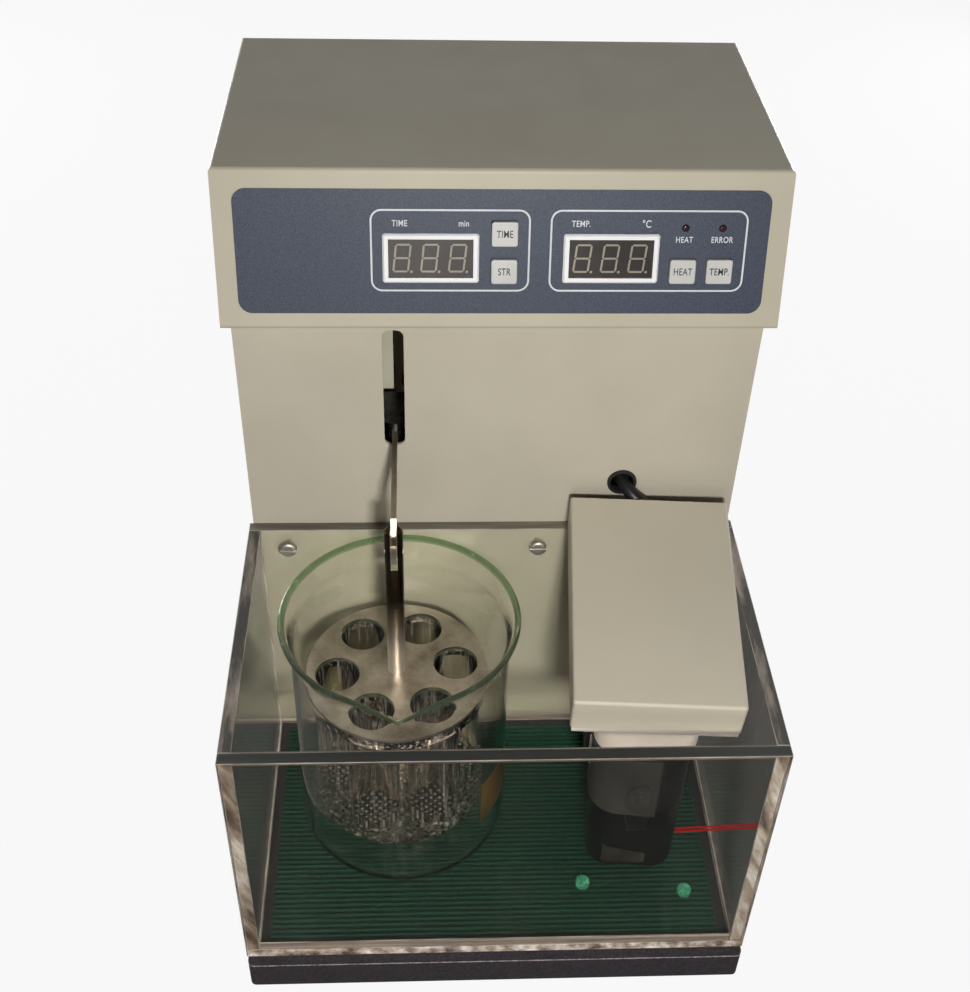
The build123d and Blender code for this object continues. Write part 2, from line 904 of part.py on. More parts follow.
def make_bracket():
    """Bridge behind the chassis that carries the gearbox."""
    left = wrist_across - bracket_half_width
    right = wrist_across + bracket_half_width
    y = column_front + bracket_setback
    bridge = span((left, right), (y, y + bracket_sheet), (bracket_bottom, chassis_top))
    for x in (left, right - bracket_sheet):
        bridge += span((x, x + bracket_sheet), (chassis_front + chassis_sheet, y + bracket_sheet),
                       (bracket_bottom, chassis_top))
    bridge -= bar(crank_hub_radius + cut_overrun, bracket_sheet + 2 * cut_overrun,
                  (wrist_across, y - cut_overrun, crank_height()), "Y")
    return bridge


def make_gearbox():
    """Gearbox that turns the crank's shaft."""
    y = column_front + bracket_setback + bracket_sheet
    half = gearbox_width / 2
    tall = gearbox_height / 2
    z = crank_height()
    box = span((wrist_across - half, wrist_across + half), (y, y + gearbox_depth), (z - tall, z + tall))
    box = fillet(box.edges().filter_by(Axis.Y), base_corner)
    shaft_end = link_front() + link_thickness + crank_gap + crank_thickness + crank_shaft_length
    box -= bar(crank_shaft_radius + running_gap, shaft_end + running_gap - y + cut_overrun,
               (wrist_across, y - cut_overrun, z), "Y")
    return box


def make_motor():
    """Drive motor behind the gearbox."""
    y = column_front + bracket_setback + bracket_sheet + gearbox_depth
    z = crank_height()
    motor = bar(motor_radius, motor_length, (wrist_across, y, z), "Y")
    motor += bar(motor_boss_radius, motor_length + motor_cap_length, (wrist_across, y, z), "Y")
    return motor


def make_supply():
    """Transformer of the power supply, on the base inside the column."""
    half = supply_width / 2
    y = column_front + supply_setback
    coil_half = half * supply_coil_share
    core_half = half * supply_core_share
    middle = y + supply_depth / 2
    core_y = (middle - supply_core_depth / 2, middle + supply_core_depth / 2)
    coil = span((supply_across - coil_half, supply_across + coil_half), (y, y + supply_depth),
                (deck + supply_foot, deck + supply_height))
    core = span((supply_across - core_half, supply_across + core_half), core_y,
                (deck, deck + supply_height + supply_foot))
    foot = span((supply_across - half, supply_across + half), core_y, (deck, deck + supply_foot))
    return coil + core + foot


# Basket rack

def on_rack(shape):
    """Place a shape drawn about the rack's axis."""
    return Pos(slot_across, pin_y, 0) * Rot(0, 0, rack_turn) * shape


def tube_places():
    """Centres of the tubes about the rack's axis."""
    angles = [2 * math.pi * k / tube_count for k in range(tube_count)]
    return [(tube_circle * math.cos(angle), tube_circle * math.sin(angle)) for angle in angles]


def tube_top():
    """Height of the tubes' upper ends, under the steel cover plate."""
    return rack_top - rack_cover_thickness


def tube_bottom():
    """Height of the tubes' lower ends, on the wire mesh."""
    return tube_top() - tube_length


def pierced_plate(z, thickness, radius):
    """Round plate with one hole for each tube and one for the rod's stud."""
    plate = bar(rack_radius, thickness, (0, 0, z))
    for x, y in tube_places():
        plate -= bar(radius, thickness + 2 * cut_overrun, (x, y, z - cut_overrun))
    plate -= bar(rod_stud_radius + running_gap, thickness + 2 * cut_overrun, (0, 0, z - cut_overrun))
    return on_rack(plate)


def make_top_plate():
    """Steel cover plate that holds the tubes down."""
    return pierced_plate(tube_top(), rack_cover_thickness, tube_hole_radius)


def make_upper_plate():
    """Clear plate round the upper ends of the tubes."""
    return pierced_plate(tube_top() - rack_plate_thickness, rack_plate_thickness,
                         tube_bore_radius + tube_wall + tube_fit_gap)


def make_lower_plate():
    """Clear plate round the lower ends of the tubes."""
    return pierced_plate(tube_bottom(), rack_plate_thickness, tube_bore_radius + tube_wall + tube_fit_gap)


def make_mesh():
    """Wire screen under the tubes, pierced below each bore."""
    z = tube_bottom() - mesh_thickness
    screen = bar(rack_radius, mesh_thickness, (0, 0, z))
    reach = int(mesh_field_radius / mesh_pitch)
    half = mesh_opening / 2
    holes = []
    for x, y in tube_places():
        for i in range(-reach, reach + 1):
            for j in range(-reach, reach + 1):
                if math.hypot(i, j) * mesh_pitch > mesh_field_radius:
                    continue
                cx = x + i * mesh_pitch
                cy = y + j * mesh_pitch
                holes.append(span((cx - half, cx + half), (cy - half, cy + half),
                                  (z - cut_overrun, z + mesh_thickness + cut_overrun)))
    holes.append(bar(rod_stud_radius + running_gap, mesh_thickness + 2 * cut_overrun, (0, 0, z - cut_overrun)))
    return on_rack(screen - holes)


def make_tubes():
    """Six open glass tubes."""
    tubes = []
    for x, y in tube_places():
        tube = bar(tube_bore_radius + tube_wall, tube_length, (x, y, tube_bottom()))
        tube -= bar(tube_bore_radius, tube_length + 2 * cut_overrun, (x, y, tube_bottom() - cut_overrun))
        tubes.append(on_rack(tube))
    return gather(tubes)


def make_disc(x, y):
    """Loose notched disc that rests on the screen inside one tube."""
    z = tube_bottom() + disc_float
    disc = bar(disc_radius, disc_height, (x, y, z))
    through = disc_height + 2 * cut_overrun
    disc -= bar(disc_hole_radius, through, (x, y, z - cut_overrun))
    for k in range(disc_hole_count):
        angle = 2 * math.pi * k / disc_hole_count
        cx = x + disc_hole_circle * math.cos(angle)
        cy = y + disc_hole_circle * math.sin(angle)
        disc -= bar(disc_hole_radius, through, (cx, cy, z - cut_overrun))
        side = angle + math.pi / disc_hole_count
        nx = x + disc_radius * math.cos(side)
        ny = y + disc_radius * math.sin(side)
        notch = Pos(nx, ny, z + disc_height / 2) * Rot(0, 0, math.degrees(angle))
        disc -= notch * Box(disc_notch, disc_notch, through)
    return on_rack(disc)


def make_rod():
    """Hanging rod with a slotted head above and a threaded stud below."""
    body = bar(rod_radius, rod_top - rack_top, (0, 0, rack_top))
    body = chamfer(body.edges().group_by(Axis.Z)[-1], rod_chamfer)
    stud_bottom = tube_bottom() - mesh_thickness - nut_height - rod_stud_end
    body += bar(rod_stud_radius, rack_top - stud_bottom, (0, 0, stud_bottom))
    body = Pos(slot_across, pin_y, 0) * body
    half = rod_slot_width / 2
    wide = rod_radius + cut_overrun
    body -= span((slot_across - half, slot_across + half), (pin_y - wide, pin_y + wide),
                 (rod_slot_bottom, rod_top + cut_overrun))
    body -= bar(pin_radius + running_gap, 2 * wide, (slot_across - wide, pin_y, pin_height), "X")
    return body


def make_nut():
    """Nut under the screen that clamps the rack."""
    z = tube_bottom() - mesh_thickness - nut_height
    nut = Pos(0, 0, z) * extrude(RegularPolygon(nut_across_flats / 2, 6, major_radius=False), nut_height)
    nut -= bar(rod_stud_radius + running_gap, nut_height + 2 * cut_overrun, (0, 0, z - cut_overrun))
    return on_rack(nut)


def make_pin():
    """Cross pin that hangs in the arm's hook."""
    half = rod_radius - running_gap
    return bar(pin_radius, 2 * half, (slot_across - half, pin_y, pin_height), "X")


# Beaker

def make_beaker():
    """Low beaker with a flared rim and a spout towards the front."""
    z = tank_floor_top
    top = z + beaker_height
    straight = top - beaker_flare
    inner = beaker_radius - beaker_wall
    with BuildPart() as turned:
        with BuildSketch(Plane.XZ):
            with BuildLine():
                Line((0, z), (beaker_radius - beaker_corner, z))
                RadiusArc((beaker_radius - beaker_corner, z), (beaker_radius, z + beaker_corner), -beaker_corner)
                Line((beaker_radius, z + beaker_corner), (beaker_radius, straight))
                Line((beaker_radius, straight), (beaker_rim_radius, top))
                Line((beaker_rim_radius, top), (0, top))
                Line((0, top), (0, z))
            make_face()
        revolve(axis=Axis.Z)
    body = turned.part + beaker_spout(0)
    with BuildPart() as hollow:
        with BuildSketch(Plane.XZ):
            with BuildLine():
                low = z + beaker_floor
                bend = beaker_corner - beaker_wall
                Line((0, low), (inner - bend, low))
                RadiusArc((inner - bend, low), (inner, low + bend), -bend)
                Line((inner, low + bend), (inner, straight))
                Line((inner, straight), (beaker_rim_radius - beaker_lip, top + cut_overrun))
                Line((beaker_rim_radius - beaker_lip, top + cut_overrun), (0, top + cut_overrun))
                Line((0, top + cut_overrun), (0, low))
            make_face()
        revolve(axis=Axis.Z)
    body -= hollow.part + beaker_spout(beaker_lip)
    return Pos(beaker_across, column_front + beaker_setback, 0) * body


def beaker_spout(inset):
    """Tapered horn that makes the spout, drawn in by a wall."""
    top = tank_floor_top + beaker_height
    low = top - spout_drop
    mouth_y = -(beaker_rim_radius + spout_reach - spout_mouth_radius)
    root_y = -(beaker_radius - spout_root_radius)
    lower = Pos(0, root_y, low) * Circle(spout_root_radius - inset)
    upper = Pos(0, mouth_y, top) * Circle(spout_mouth_radius - inset)
    horn = loft([lower, upper])
    if inset > 0:
        horn += Pos(0, mouth_y, top) * bar(spout_mouth_radius - inset, cut_overrun, (0, 0, 0))
    return horn


# Pump, hood and cable

def on_pump(shape):
    """Place a shape drawn about the pump's upright axis."""
    return Pos(pump_across, column_front + pump_setback, 0) * Rot(0, 0, -pump_turn) * shape


def on_hood(shape):
    """Place a shape drawn on the hood: x across, y back, z out of its top, from its rear edge."""
    place = Pos(hood_across, column_front + hood_setback, hood_height)
    return place * Rot(0, 0, -pump_turn) * Rot(hood_slope, 0, 0) * shape


def make_cup():
    """Strainer cup that stands on the tank floor."""
    cup = rounded_bar(cup_width, cup_depth, cup_corner, cup_height)
    cup = fillet(cup.edges().group_by(Axis.Z)[0], sheet)
    return on_pump(Pos(0, 0, tank_floor_top) * cup)


def make_pump_body():
    """Pump housing above the cup, with its side clips."""
    z = tank_floor_top + cup_height
    body = Pos(0, 0, z) * rounded_bar(pump_body_width, pump_body_depth, pump_body_corner, pump_body_height)
    for side in (-1, 1):
        x = side * (pump_body_width / 2 + clip_width / 2)
        clip = Box(2 * clip_width, clip_length, clip_height)
        body += Pos(x, 0, z + pump_body_height - clip_height / 2) * clip
    return on_pump(body)


def make_pump_head():
    """Pale upper housing that carries the hood's floor."""
    z = tank_floor_top + cup_height + pump_body_height
    tall = hood_height - z
    head = rounded_bar(pump_head_width, pump_head_depth, pump_head_corner, tall)
    head = fillet(head.edges().group_by(Axis.Z)[0], pump_head_round)
    head = on_pump(Pos(0, 0, z) * head)
    under = -hood_skirt - hood_floor_thickness
    wide = hood_width
    head -= on_hood(span((-wide, wide), (-hood_length - wide, wide), (under, wide)))
    return head


def make_hood():
    """Folded hood over the pump, open behind and below."""
    half = hood_width / 2
    hood = span((-half, half), (-hood_length, 0), (-hood_skirt, 0))
    top = hood.edges().group_by(Axis.Z)[-1].sort_by(Axis.Y)
    corners = hood.edges().filter_by(Axis.Z).sort_by(Axis.Y)[:2]
    hood = fillet(list(top[:-1]) + list(corners), hood_bend)
    hood -= span((-half + sheet, half - sheet), (-hood_length + sheet, cut_overrun),
                 (-hood_skirt - cut_overrun, -sheet))
    return on_hood(hood)


def make_hood_floor():
    """Pale floor plate under the hood, with the cable's gland block."""
    half = hood_width / 2 - hood_floor_inset
    front = -hood_length + hood_floor_inset
    under = -hood_skirt - hood_floor_thickness
    plate = span((-half, half), (front, front + hood_floor_length), (under, -hood_skirt))
    plate += span((gland_across - gland_width / 2, gland_across + gland_width / 2),
                  (-gland_back - gland_length, -gland_back), (-hood_skirt, -hood_skirt + gland_height))
    return on_hood(plate)


def make_probe():
    """Temperature probe that hangs in the water behind the pump."""
    under = -hood_skirt - hood_floor_thickness
    top = on_hood(Pos(probe_across, -probe_back, under)).position
    probe = bar(probe_radius, probe_length, (top.X, top.Y, top.Z - probe_length + probe_radius))
    return probe - hood_underside()


def hood_underside():
    """Everything above the lower face of the hood's floor."""
    under = -hood_skirt - hood_floor_thickness
    wide = hood_width
    return on_hood(span((-wide, wide), (-hood_length - wide, wide), (under, wide)))


def make_heater():
    """Hairpin water heater behind the pump."""
    under = -hood_skirt - hood_floor_thickness
    top = on_hood(Pos(0, -heater_back, under)).position
    low = top.Z - heater_drop
    x0 = top.X - heater_spread
    x1 = top.X + heater_spread
    high = top.Z + heater_radius
    path = FilletPolyline((x0, top.Y, high), (x0, top.Y, low), (x1, top.Y, low), (x1, top.Y, high),
                          radius=heater_spread * heater_bend_share)
    tube = sweep(Plane(origin=path @ 0, z_dir=path % 0) * Circle(heater_radius), path=path)
    return tube - hood_underside()


def cable_route():
    """Points of the cable from the chassis, through the column face, to the hood's gland."""
    gland = on_hood(Pos(gland_across, -gland_back, -hood_skirt + gland_height / 2)).position
    out = on_hood(Pos(gland_across, -gland_back + 4 * cable_radius, -hood_skirt + gland_height / 2)).position
    bends = [(cable_hole_across + x, column_front + y, cable_hole_height + z) for x, y, z in cable_bends]
    start = (bends[0][0], chassis_front, bends[0][2])
    return [start] + bends + [tuple(out), tuple(gland)]


def make_cable():
    """Pump cable as straight runs joined by arcs."""
    points = [Vector(*p) for p in cable_route()]
    runs = [b - a for a, b in zip(points, points[1:])]
    radii = []
    for before, after in zip(runs, runs[1:]):
        turn = math.radians(before.get_angle(after))
        shorter = min(before.length, after.length)
        radii.append(cable_run_share * shorter / math.tan(turn / 2))
    print("cable radii", [round(r, 1) for r in radii], "runs", [round(r.length, 1) for r in runs])
    path = FilletPolyline(*points, radius=radii)
    tube = sweep(Plane(origin=path @ 0, z_dir=path % 0) * Circle(cable_radius), path=path)
    section = math.pi * cable_radius ** 2
    print("cable length", round(path.length, 1), "volume share", round(tube.volume / (section * path.length), 4))
    return tube


def make_grommet():
    """Rubber ring that lines the cable hole."""
    start = column_front - grommet_lip
    ring = bar(grommet_flange_radius, grommet_lip, (0, 0, 0), "Y")
    ring += bar(grommet_radius, grommet_lip + sheet, (0, 0, 0), "Y")
    ring += bar(grommet_flange_radius, grommet_lip, (0, grommet_lip + sheet, 0), "Y")
    ring -= bar(grommet_bore_radius, 2 * grommet_lip + sheet + 2 * cut_overrun, (0, -cut_overrun, 0), "Y")
    return Pos(cable_hole_across, start, cable_hole_height) * ring


# Power inlet

def make_inlet():
    """Panel inlet with a mains socket on one side and a switch opening on the other."""
    half = inlet_width / 2
    tall = inlet_tall / 2
    inset = inlet_body_inset
    face = sheet + inlet_flange
    module = span((-half, half), (sheet, face), (-tall, tall))
    module = fillet(module.edges().filter_by(Axis.Y), base_corner)
    module += span((-half + inset, half - inset), (face - inlet_body_depth, face),
                   (-tall + inset, tall - inset))
    sx = -socket_offset
    module -= span((sx - socket_width / 2, sx + socket_width / 2), (face - socket_depth, face + cut_overrun),
                   (-socket_tall / 2, socket_tall / 2))
    for x, z in ((sx - blade_spread, -blade_rise), (sx, blade_rise), (sx + blade_spread, -blade_rise)):
        module += span((x - blade_width / 2, x + blade_width / 2),
                       (face - socket_depth - cut_overrun, face - socket_depth + blade_length),
                       (z - blade_tall / 2, z + blade_tall / 2))
    opening = rocker_width / 2 + slide_gap
    room = rocker_radius + slide_gap
    module -= span((rocker_offset - opening, rocker_offset + opening),
                   (face - rocker_pivot_depth - room, face + cut_overrun), (-room, room))
    pin = rocker_pin_radius + running_gap
    reach = opening + rocker_pin_length
    module -= bar(pin, 2 * reach, (rocker_offset - reach, face - rocker_pivot_depth, 0), "X")
    return Pos(inlet_across, cover_seat, inlet_height) * module


def make_rocker():
    """Rocker of the mains switch, tilted to off."""
    half = rocker_width / 2
    face = sheet + inlet_flange
    wheel = bar(rocker_radius, rocker_width, (-half, 0, 0), "X")
    edge = rocker_radius * rocker_edge_share
    keep = profile_along_x([(-rocker_edge, -rocker_radius), (-rocker_edge, rocker_radius),
                            (rocker_edge, edge), (rocker_crown, 0), (rocker_edge, -edge)], -half, half)
    rocker = wheel & keep
    pins = bar(rocker_pin_radius, rocker_width + 2 * rocker_pin_length, (-half - rocker_pin_length, 0, 0), "X")
    rocker = Rot(rocker_rest_tilt, 0, 0) * (rocker + pins)
    return Pos(inlet_across + rocker_offset, cover_seat + face - rocker_pivot_depth, inlet_height) * rocker


def all_nodes():
    """Every piece by its node name."""
    nodes = {
        "base_plate": make_base(), "ribbed_mat": make_mat(), "rubber_feet": make_feet(),
        "tank_front": make_tank_front(), "tank_back": make_tank_back(), "tank_sides": make_tank_sides(),
        "tank_floor": make_tank_floor(), "tank_screws": make_tank_screws(), "level_mark": make_level_mark(),
        "floor_studs": make_floor_studs(), "column_shell": make_column(), "rear_cover": make_rear_cover(),
        "case_screws": make_case_screws(), "head_cover": make_head(), "panel_overlay": make_overlay(),
        "display_frames": make_display_frames(), "display_modules": make_displays(),
        "indicator_lights": make_lights(), "control_board": make_board(), "chassis_plate": make_chassis(),
        "guide_rods": make_guide_rods(), "guide_rod_blocks": make_guide_blocks(),
        "lift_block": make_lift_block(), "lift_arm": make_lift_arm(), "connecting_link": make_link(),
        "crank_disc": make_crank(), "motor_bracket": make_bracket(), "gearbox": make_gearbox(),
        "drive_motor": make_motor(), "power_supply": make_supply(), "top_plate": make_top_plate(),
        "upper_plate": make_upper_plate(), "lower_plate": make_lower_plate(), "wire_mesh": make_mesh(),
        "glass_tubes": make_tubes(), "basket_rod": make_rod(), "basket_nut": make_nut(),
        "hook_pin": make_pin(), "beaker": make_beaker(), "pump_cup": make_cup(),
        "pump_body": make_pump_body(), "pump_head": make_pump_head(), "pump_hood": make_hood(),
        "hood_floor": make_hood_floor(), "temperature_probe": make_probe(), "heater_tube": make_heater(),
        "pump_cable": make_cable(), "cable_grommet": make_grommet(), "power_inlet": make_inlet(),
        "power_rocker": make_rocker(),
    }
    for name, across, down in button_places():
        nodes[name] = make_button(across, down)
    for index, (x, y) in enumerate(tube_places()):
        nodes[f"disc_{index + 1}"] = make_disc(x, y)
    return nodes


os.makedirs("parts", exist_ok=True)
for node_name, shape in all_nodes().items():
    export_step(shape, f"parts/{node_name}.step")
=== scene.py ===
import bmesh
import bpy
import math
from mathutils import Matrix, Vector


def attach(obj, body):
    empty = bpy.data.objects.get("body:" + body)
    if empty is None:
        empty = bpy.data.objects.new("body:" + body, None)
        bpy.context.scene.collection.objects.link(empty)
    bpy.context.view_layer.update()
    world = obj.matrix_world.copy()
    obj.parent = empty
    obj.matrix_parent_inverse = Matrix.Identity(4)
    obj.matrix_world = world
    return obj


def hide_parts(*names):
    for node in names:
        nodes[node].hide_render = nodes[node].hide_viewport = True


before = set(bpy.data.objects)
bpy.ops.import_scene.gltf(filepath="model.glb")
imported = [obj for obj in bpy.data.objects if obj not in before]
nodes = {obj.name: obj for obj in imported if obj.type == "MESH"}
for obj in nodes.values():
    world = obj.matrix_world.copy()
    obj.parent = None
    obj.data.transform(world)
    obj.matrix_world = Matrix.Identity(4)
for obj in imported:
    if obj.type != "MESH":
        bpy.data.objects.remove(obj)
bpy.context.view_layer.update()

# Tablet disintegration tester. Pieces are modelled in millimetres in the row frame and
# scaled to metres when they are finished.
MM = 0.001
scene = bpy.context.scene
scene.view_settings.view_transform = "Standard"

# The camera that took the photograph, fitted to the edges of the head, column, tank and base
camera_place = (-34.84, -512.23, 633.40)
camera_yaw = -0.0594
camera_pitch = 0.7038
camera_roll = 0.0331
focal_pixels = 1338.48
picture_width = 970
picture_height = 992
sensor_size = 36.0

# Column, tank and head
column_front = 4.1
head_top = 372.3
head_top_front = 8.3
head_lean = math.atan2(16.2, 70.4)
tank_front = -150.3
tank_half = 124.0
tank_wall = 6.0
tank_bottom = 26.3
tank_floor_top = 32.3
tank_top = 177.2
tank_joint_gap = 0.06
tank_edge_round = 0.35
flat_enough = 0.98
sheet_angle = math.radians(8)
rim_strip_height = 6.8
rim_strip_thickness = 0.6
# Height of the band along the top of the base that is painted bright as a highlight
base_highlight_band = 0.9
mat_rib_pitch = 2.9

# Where the paler, less clear streaks on glass begin and are full, along their noise: partly water
# streaks, partly painted highlights
streak_and_highlight_start = 0.55
streak_and_highlight_full = 0.7

# How finely round forms are divided, and the angle up to which glass is shaded as one surface
beaker_steps = 144
bend_steps = 8
tube_steps = 48
tube_end_steps = 6
wire_sides = 5
outline_steps = 8
point_sides = 16
pad_sides = 40
merge_distance = 0.0001
plain_angle = math.radians(35)
glass_angle = math.radians(60)

# Beaker
beaker_centre = (-46.9, -60.5)
beaker_radius = 53.5
beaker_wall = 1.8
beaker_height = 142.6
beaker_corner = 9.0
beaker_floor = 3.0
beaker_straight = 20.0
beaker_low_ring = 40.0
beaker_foot_inset = 16.0
beaker_foot_rise = 0.7
beaker_dish_rise = 1.2
rim_radius = 58.2
rim_bead = 1.3
flare_height = 15.0
flare_steps = 7
flare_curve = 2.2
spout_reach = 9.6
spout_drop = 22.0
spout_half_angle = 0.44
spout_inner_gap = 6.0
spout_pinch = 0.16
spout_rise_curve = 1.6
spout_side_curve = 1.7
note_angles = (-42, -10)
note_heights = (62, 92)
note_steps = 10
note_gap = 0.06
note_thickness = 0.08

# Rack
rack_centre = (-49.0, -58.3)
rack_turn = math.radians(6.6)
tube_count = 6
tube_circle = 29.5
tube_bore = 10.75
tube_wall = 2.0
tube_bottom = 56.0
tube_top = 133.5
rack_radius = 45.0
screen_middle = 55.7
wire_sway = 0.14
wire_radius = 0.29
wire_pitch = 2.6
wire_end_gap = 0.8
wire_edge_gap = 1.5
# Heights on the rod between which its painted highlight below turns to painted shade above
rod_highlight_height = 150.0
rod_shade_height = 215.0

# Pump, about its own upright axis
pump_centre = (73.0, -77.9)
pump_turn = math.radians(3.7)
pump_half_width = 23.5
pump_half_depth = 27.0
pump_corner = 13.0
pump_body_bottom = 81.3
pump_body_top = 121.5
cup_half_width = 22.5
cup_half_depth = 26.0
cup_corner = 12.0
wrap_steps = 8
plate_gap = 0.2
plate_start = 8.5
plate_end = -6.0
plate_below = 6.0
plate_top_gap = 0.8
plate_thickness = 1.1
plate_slant = 0.09
plate_cut = 2.2
slant_across = -5
pad_front_gap = 1.3
pad_size = (6.8, 10.4)
pad_thickness = 0.9
pad_edge = 0.25
pad_across = -0.3
pad_rise = 11.0
dot_radius = 0.75
dot_flatness = 0.7
dot_rows = 4
dot_columns = (-1, 0, 1)
dot_pitch = (3.0, 2.8)
dot_top = 6.0
tongue_size = (14.5, 1.6, 16.0)
tongue_narrowing = 0.62
tongue_edge = 0.5
tongue_across = 0.2
tongue_drop = 8.0
clip_size = (1.0, 3.4, 17.0)
clip_edge = 0.4
clip_gap = 1.9
clip_along = -12.0
clip_drop = 13.0
cup_window = (37.0, 51.0)
cup_window_gap = 0.1
cup_window_start = 7.0
cup_window_thickness = 0.5
cup_window_slant = 0.25
cup_window_cut = 3.5

# Cable from the chassis to the hood, the route of the part's source
cable_radius = 3.5
cable_route = [(57.7, 42.0, 210.0), (57.7, 28.0, 210.0), (67.0, -2.0, 201.5), (79.5, -4.4, 192.5),
               (81.5, -20.4, 181.2), (80.6, -34.1, 178.7)]

# Panel, in millimetres across from its middle and down from its top edge
print_lift = 0.62
outline_width = 0.8
outline_corner = 5.0
outline_boxes = [(-57.7, 11.7, 17.1, 53.8), (20.3, 106.5, 17.1, 53.8)]
panel_words = [("TIME", -44.9, 23.4, 3.9), ("min", -17.2, 23.4, 3.9), ("TEMP.", 33.6, 23.4, 3.9),
               ("°C", 62.1, 23.4, 4.6), ("HEAT", 79.0, 30.3, 3.8), ("ERROR", 95.6, 30.3, 3.8)]
key_words = {"time_button": ("TIME", 0.5, 27.4), "start_button": ("STR", 0.5, 44.2),
             "heat_button": ("HEAT", 79.0, 44.0), "temp_button": ("TEMP.", 95.2, 44.0)}
key_top = 3.2
key_word_lift = 0.02
key_word_size = 4.5
key_word_squeeze = 0.72
panel_word_squeeze = 0.78
word_spacing = 1.06
word_weight = 0.01
window_acrosses = (-31.5, 47.25)
window_down = 38.6
window_front = 1.0
digit_pitch = 12.1
digit_width = 6.4
digit_height = 12.0
digit_slant = 0.11
digit_shift = -0.4
digit_lift = 0.03
segment_width = 0.85
segment_gap = 0.35
segment_point_share = 0.42
point_radius = 0.6
point_across = 1.5
point_down = 0.1


def hue(red, green, blue):
    """A colour picked in the photograph's 0 to 255 values, as the shader's linear colour."""
    values = [v / 255 for v in (red, green, blue)]
    return [v / 12.92 if v <= 0.04045 else ((v + 0.055) / 1.055) ** 2.4 for v in values] + [1.0]


# Materials

def link(tree, source, target):
    """Join an output to an input."""
    tree.links.new(source, target)


def add_node(tree, kind, **settings):
    """A shader node with its settings; socket values are given by the socket's name."""
    made = tree.nodes.new(kind)
    for name, value in settings.items():
        if hasattr(made, name):
            setattr(made, name, value)
        else:
            made.inputs[name.replace("_", " ")].default_value = value
    return made


def new_finish(name, **settings):
    """A material and its Principled shader with fixed values set on the shader."""
    finish = bpy.data.materials.new(name)
    finish.use_nodes = True
    tree = finish.node_tree
    shader = tree.nodes["Principled BSDF"]
    for socket, value in settings.items():
        shader.inputs[socket.replace("_", " ")].default_value = value
    return finish, tree, shader


def object_place(tree):
    """Object coordinates, in metres."""
    return add_node(tree, "ShaderNodeTexCoord").outputs["Object"]


def place_of(tree, scale=(1.0, 1.0, 1.0)):
    """Object coordinates stretched by a scale."""
    mapping = add_node(tree, "ShaderNodeMapping", Scale=scale)
    link(tree, object_place(tree), mapping.inputs["Vector"])
    return mapping.outputs["Vector"]


def height_of(tree):
    """Height above the floor, in metres."""
    parts = add_node(tree, "ShaderNodeSeparateXYZ")
    link(tree, object_place(tree), parts.inputs["Vector"])
    return parts.outputs["Z"]


def grain(tree, scale, detail=3.0, roughness=0.5, stretch=(1.0, 1.0, 1.0)):
    """A noise pattern of so many features a metre."""
    noise = add_node(tree, "ShaderNodeTexNoise", Scale=scale, Detail=detail, Roughness=roughness)
    link(tree, place_of(tree, stretch), noise.inputs["Vector"])
    return noise.outputs["Fac"]


def spread(tree, value, low, high, start=0.0, full=1.0):
    """Turn a pattern that runs from a start to a full value into a range of values."""
    ranged = add_node(tree, "ShaderNodeMapRange", From_Min=start, From_Max=full, To_Min=low,
                      To_Max=high)
    link(tree, value, ranged.inputs["Value"])
    return ranged.outputs["Result"]


def combine(tree, operation, first, second):
    """One value worked out from two."""
    made = add_node(tree, "ShaderNodeMath", operation=operation)
    link(tree, first, made.inputs[0])
    link(tree, second, made.inputs[1])
    return made.outputs[0]


def blend(tree, share, first, second, output):
    """Mix two shaders by a share and give the mix to an output."""
    mix = add_node(tree, "ShaderNodeMixShader")
    link(tree, share, mix.inputs["Fac"])
    link(tree, first, mix.inputs[1])
    link(tree, second, mix.inputs[2])
    link(tree, mix.outputs["Shader"], tree.nodes[output].inputs["Surface"])


def shades(tree, value, stops):
    """Turn a pattern into colours at given places along it."""
    ramp = add_node(tree, "ShaderNodeValToRGB")
    elements = ramp.color_ramp.elements
    while len(elements) < len(stops):
        elements.new(0.5)
    for element, (place, colour) in zip(elements, stops):
        element.position = place
        element.color = colour
    link(tree, value, ramp.inputs["Fac"])
    return ramp.outputs["Color"]


def roughen(tree, shader, height, strength, distance):
    """Raise a surface by a pattern."""
    bump = add_node(tree, "ShaderNodeBump", Strength=strength, Distance=distance)
    link(tree, height, bump.inputs["Height"])
    link(tree, bump.outputs["Normal"], shader.inputs["Normal"])


def enamel(name, pale, deep, rough=(0.32, 0.48), skin=0.25):
    """Baked enamel: a faint drift of colour and an orange-peel skin."""
    finish, tree, shader = new_finish(name, Specular_IOR_Level=0.3)
    drift = grain(tree, 14.0, detail=4.0)
    link(tree, shades(tree, drift, [(0.3, deep), (0.7, pale)]), shader.inputs["Base Color"])
    link(tree, spread(tree, grain(tree, 60.0), *rough), shader.inputs["Roughness"])
    roughen(tree, shader, grain(tree, 900.0, detail=2.0), skin, distance=0.0002)
    return finish


def plastic(name, pale, deep, rough=(0.35, 0.5), skin=0.15, scale=1800.0):
    """Moulded plastic with a fine spark-eroded skin."""
    finish, tree, shader = new_finish(name)
    drift = grain(tree, 40.0)
    link(tree, shades(tree, drift, [(0.35, deep), (0.65, pale)]), shader.inputs["Base Color"])
    link(tree, spread(tree, grain(tree, 120.0), *rough), shader.inputs["Roughness"])
    roughen(tree, shader, grain(tree, scale, detail=2.0), skin, distance=0.00008)
    return finish


def metal(name, pale, deep, rough=(0.2, 0.35), stretch=(1.0, 1.0, 1.0), scale=300.0, skin=0.1):
    """Metal with fine grinding marks along the direction that is stretched least."""
    finish, tree, shader = new_finish(name, Metallic=1.0)
    marks = grain(tree, scale, detail=4.0, roughness=0.6, stretch=stretch)
    link(tree, shades(tree, marks, [(0.3, deep), (0.7, pale)]), shader.inputs["Base Color"])
    link(tree, spread(tree, marks, *rough), shader.inputs["Roughness"])
    roughen(tree, shader, marks, skin, distance=0.00005)
    return finish


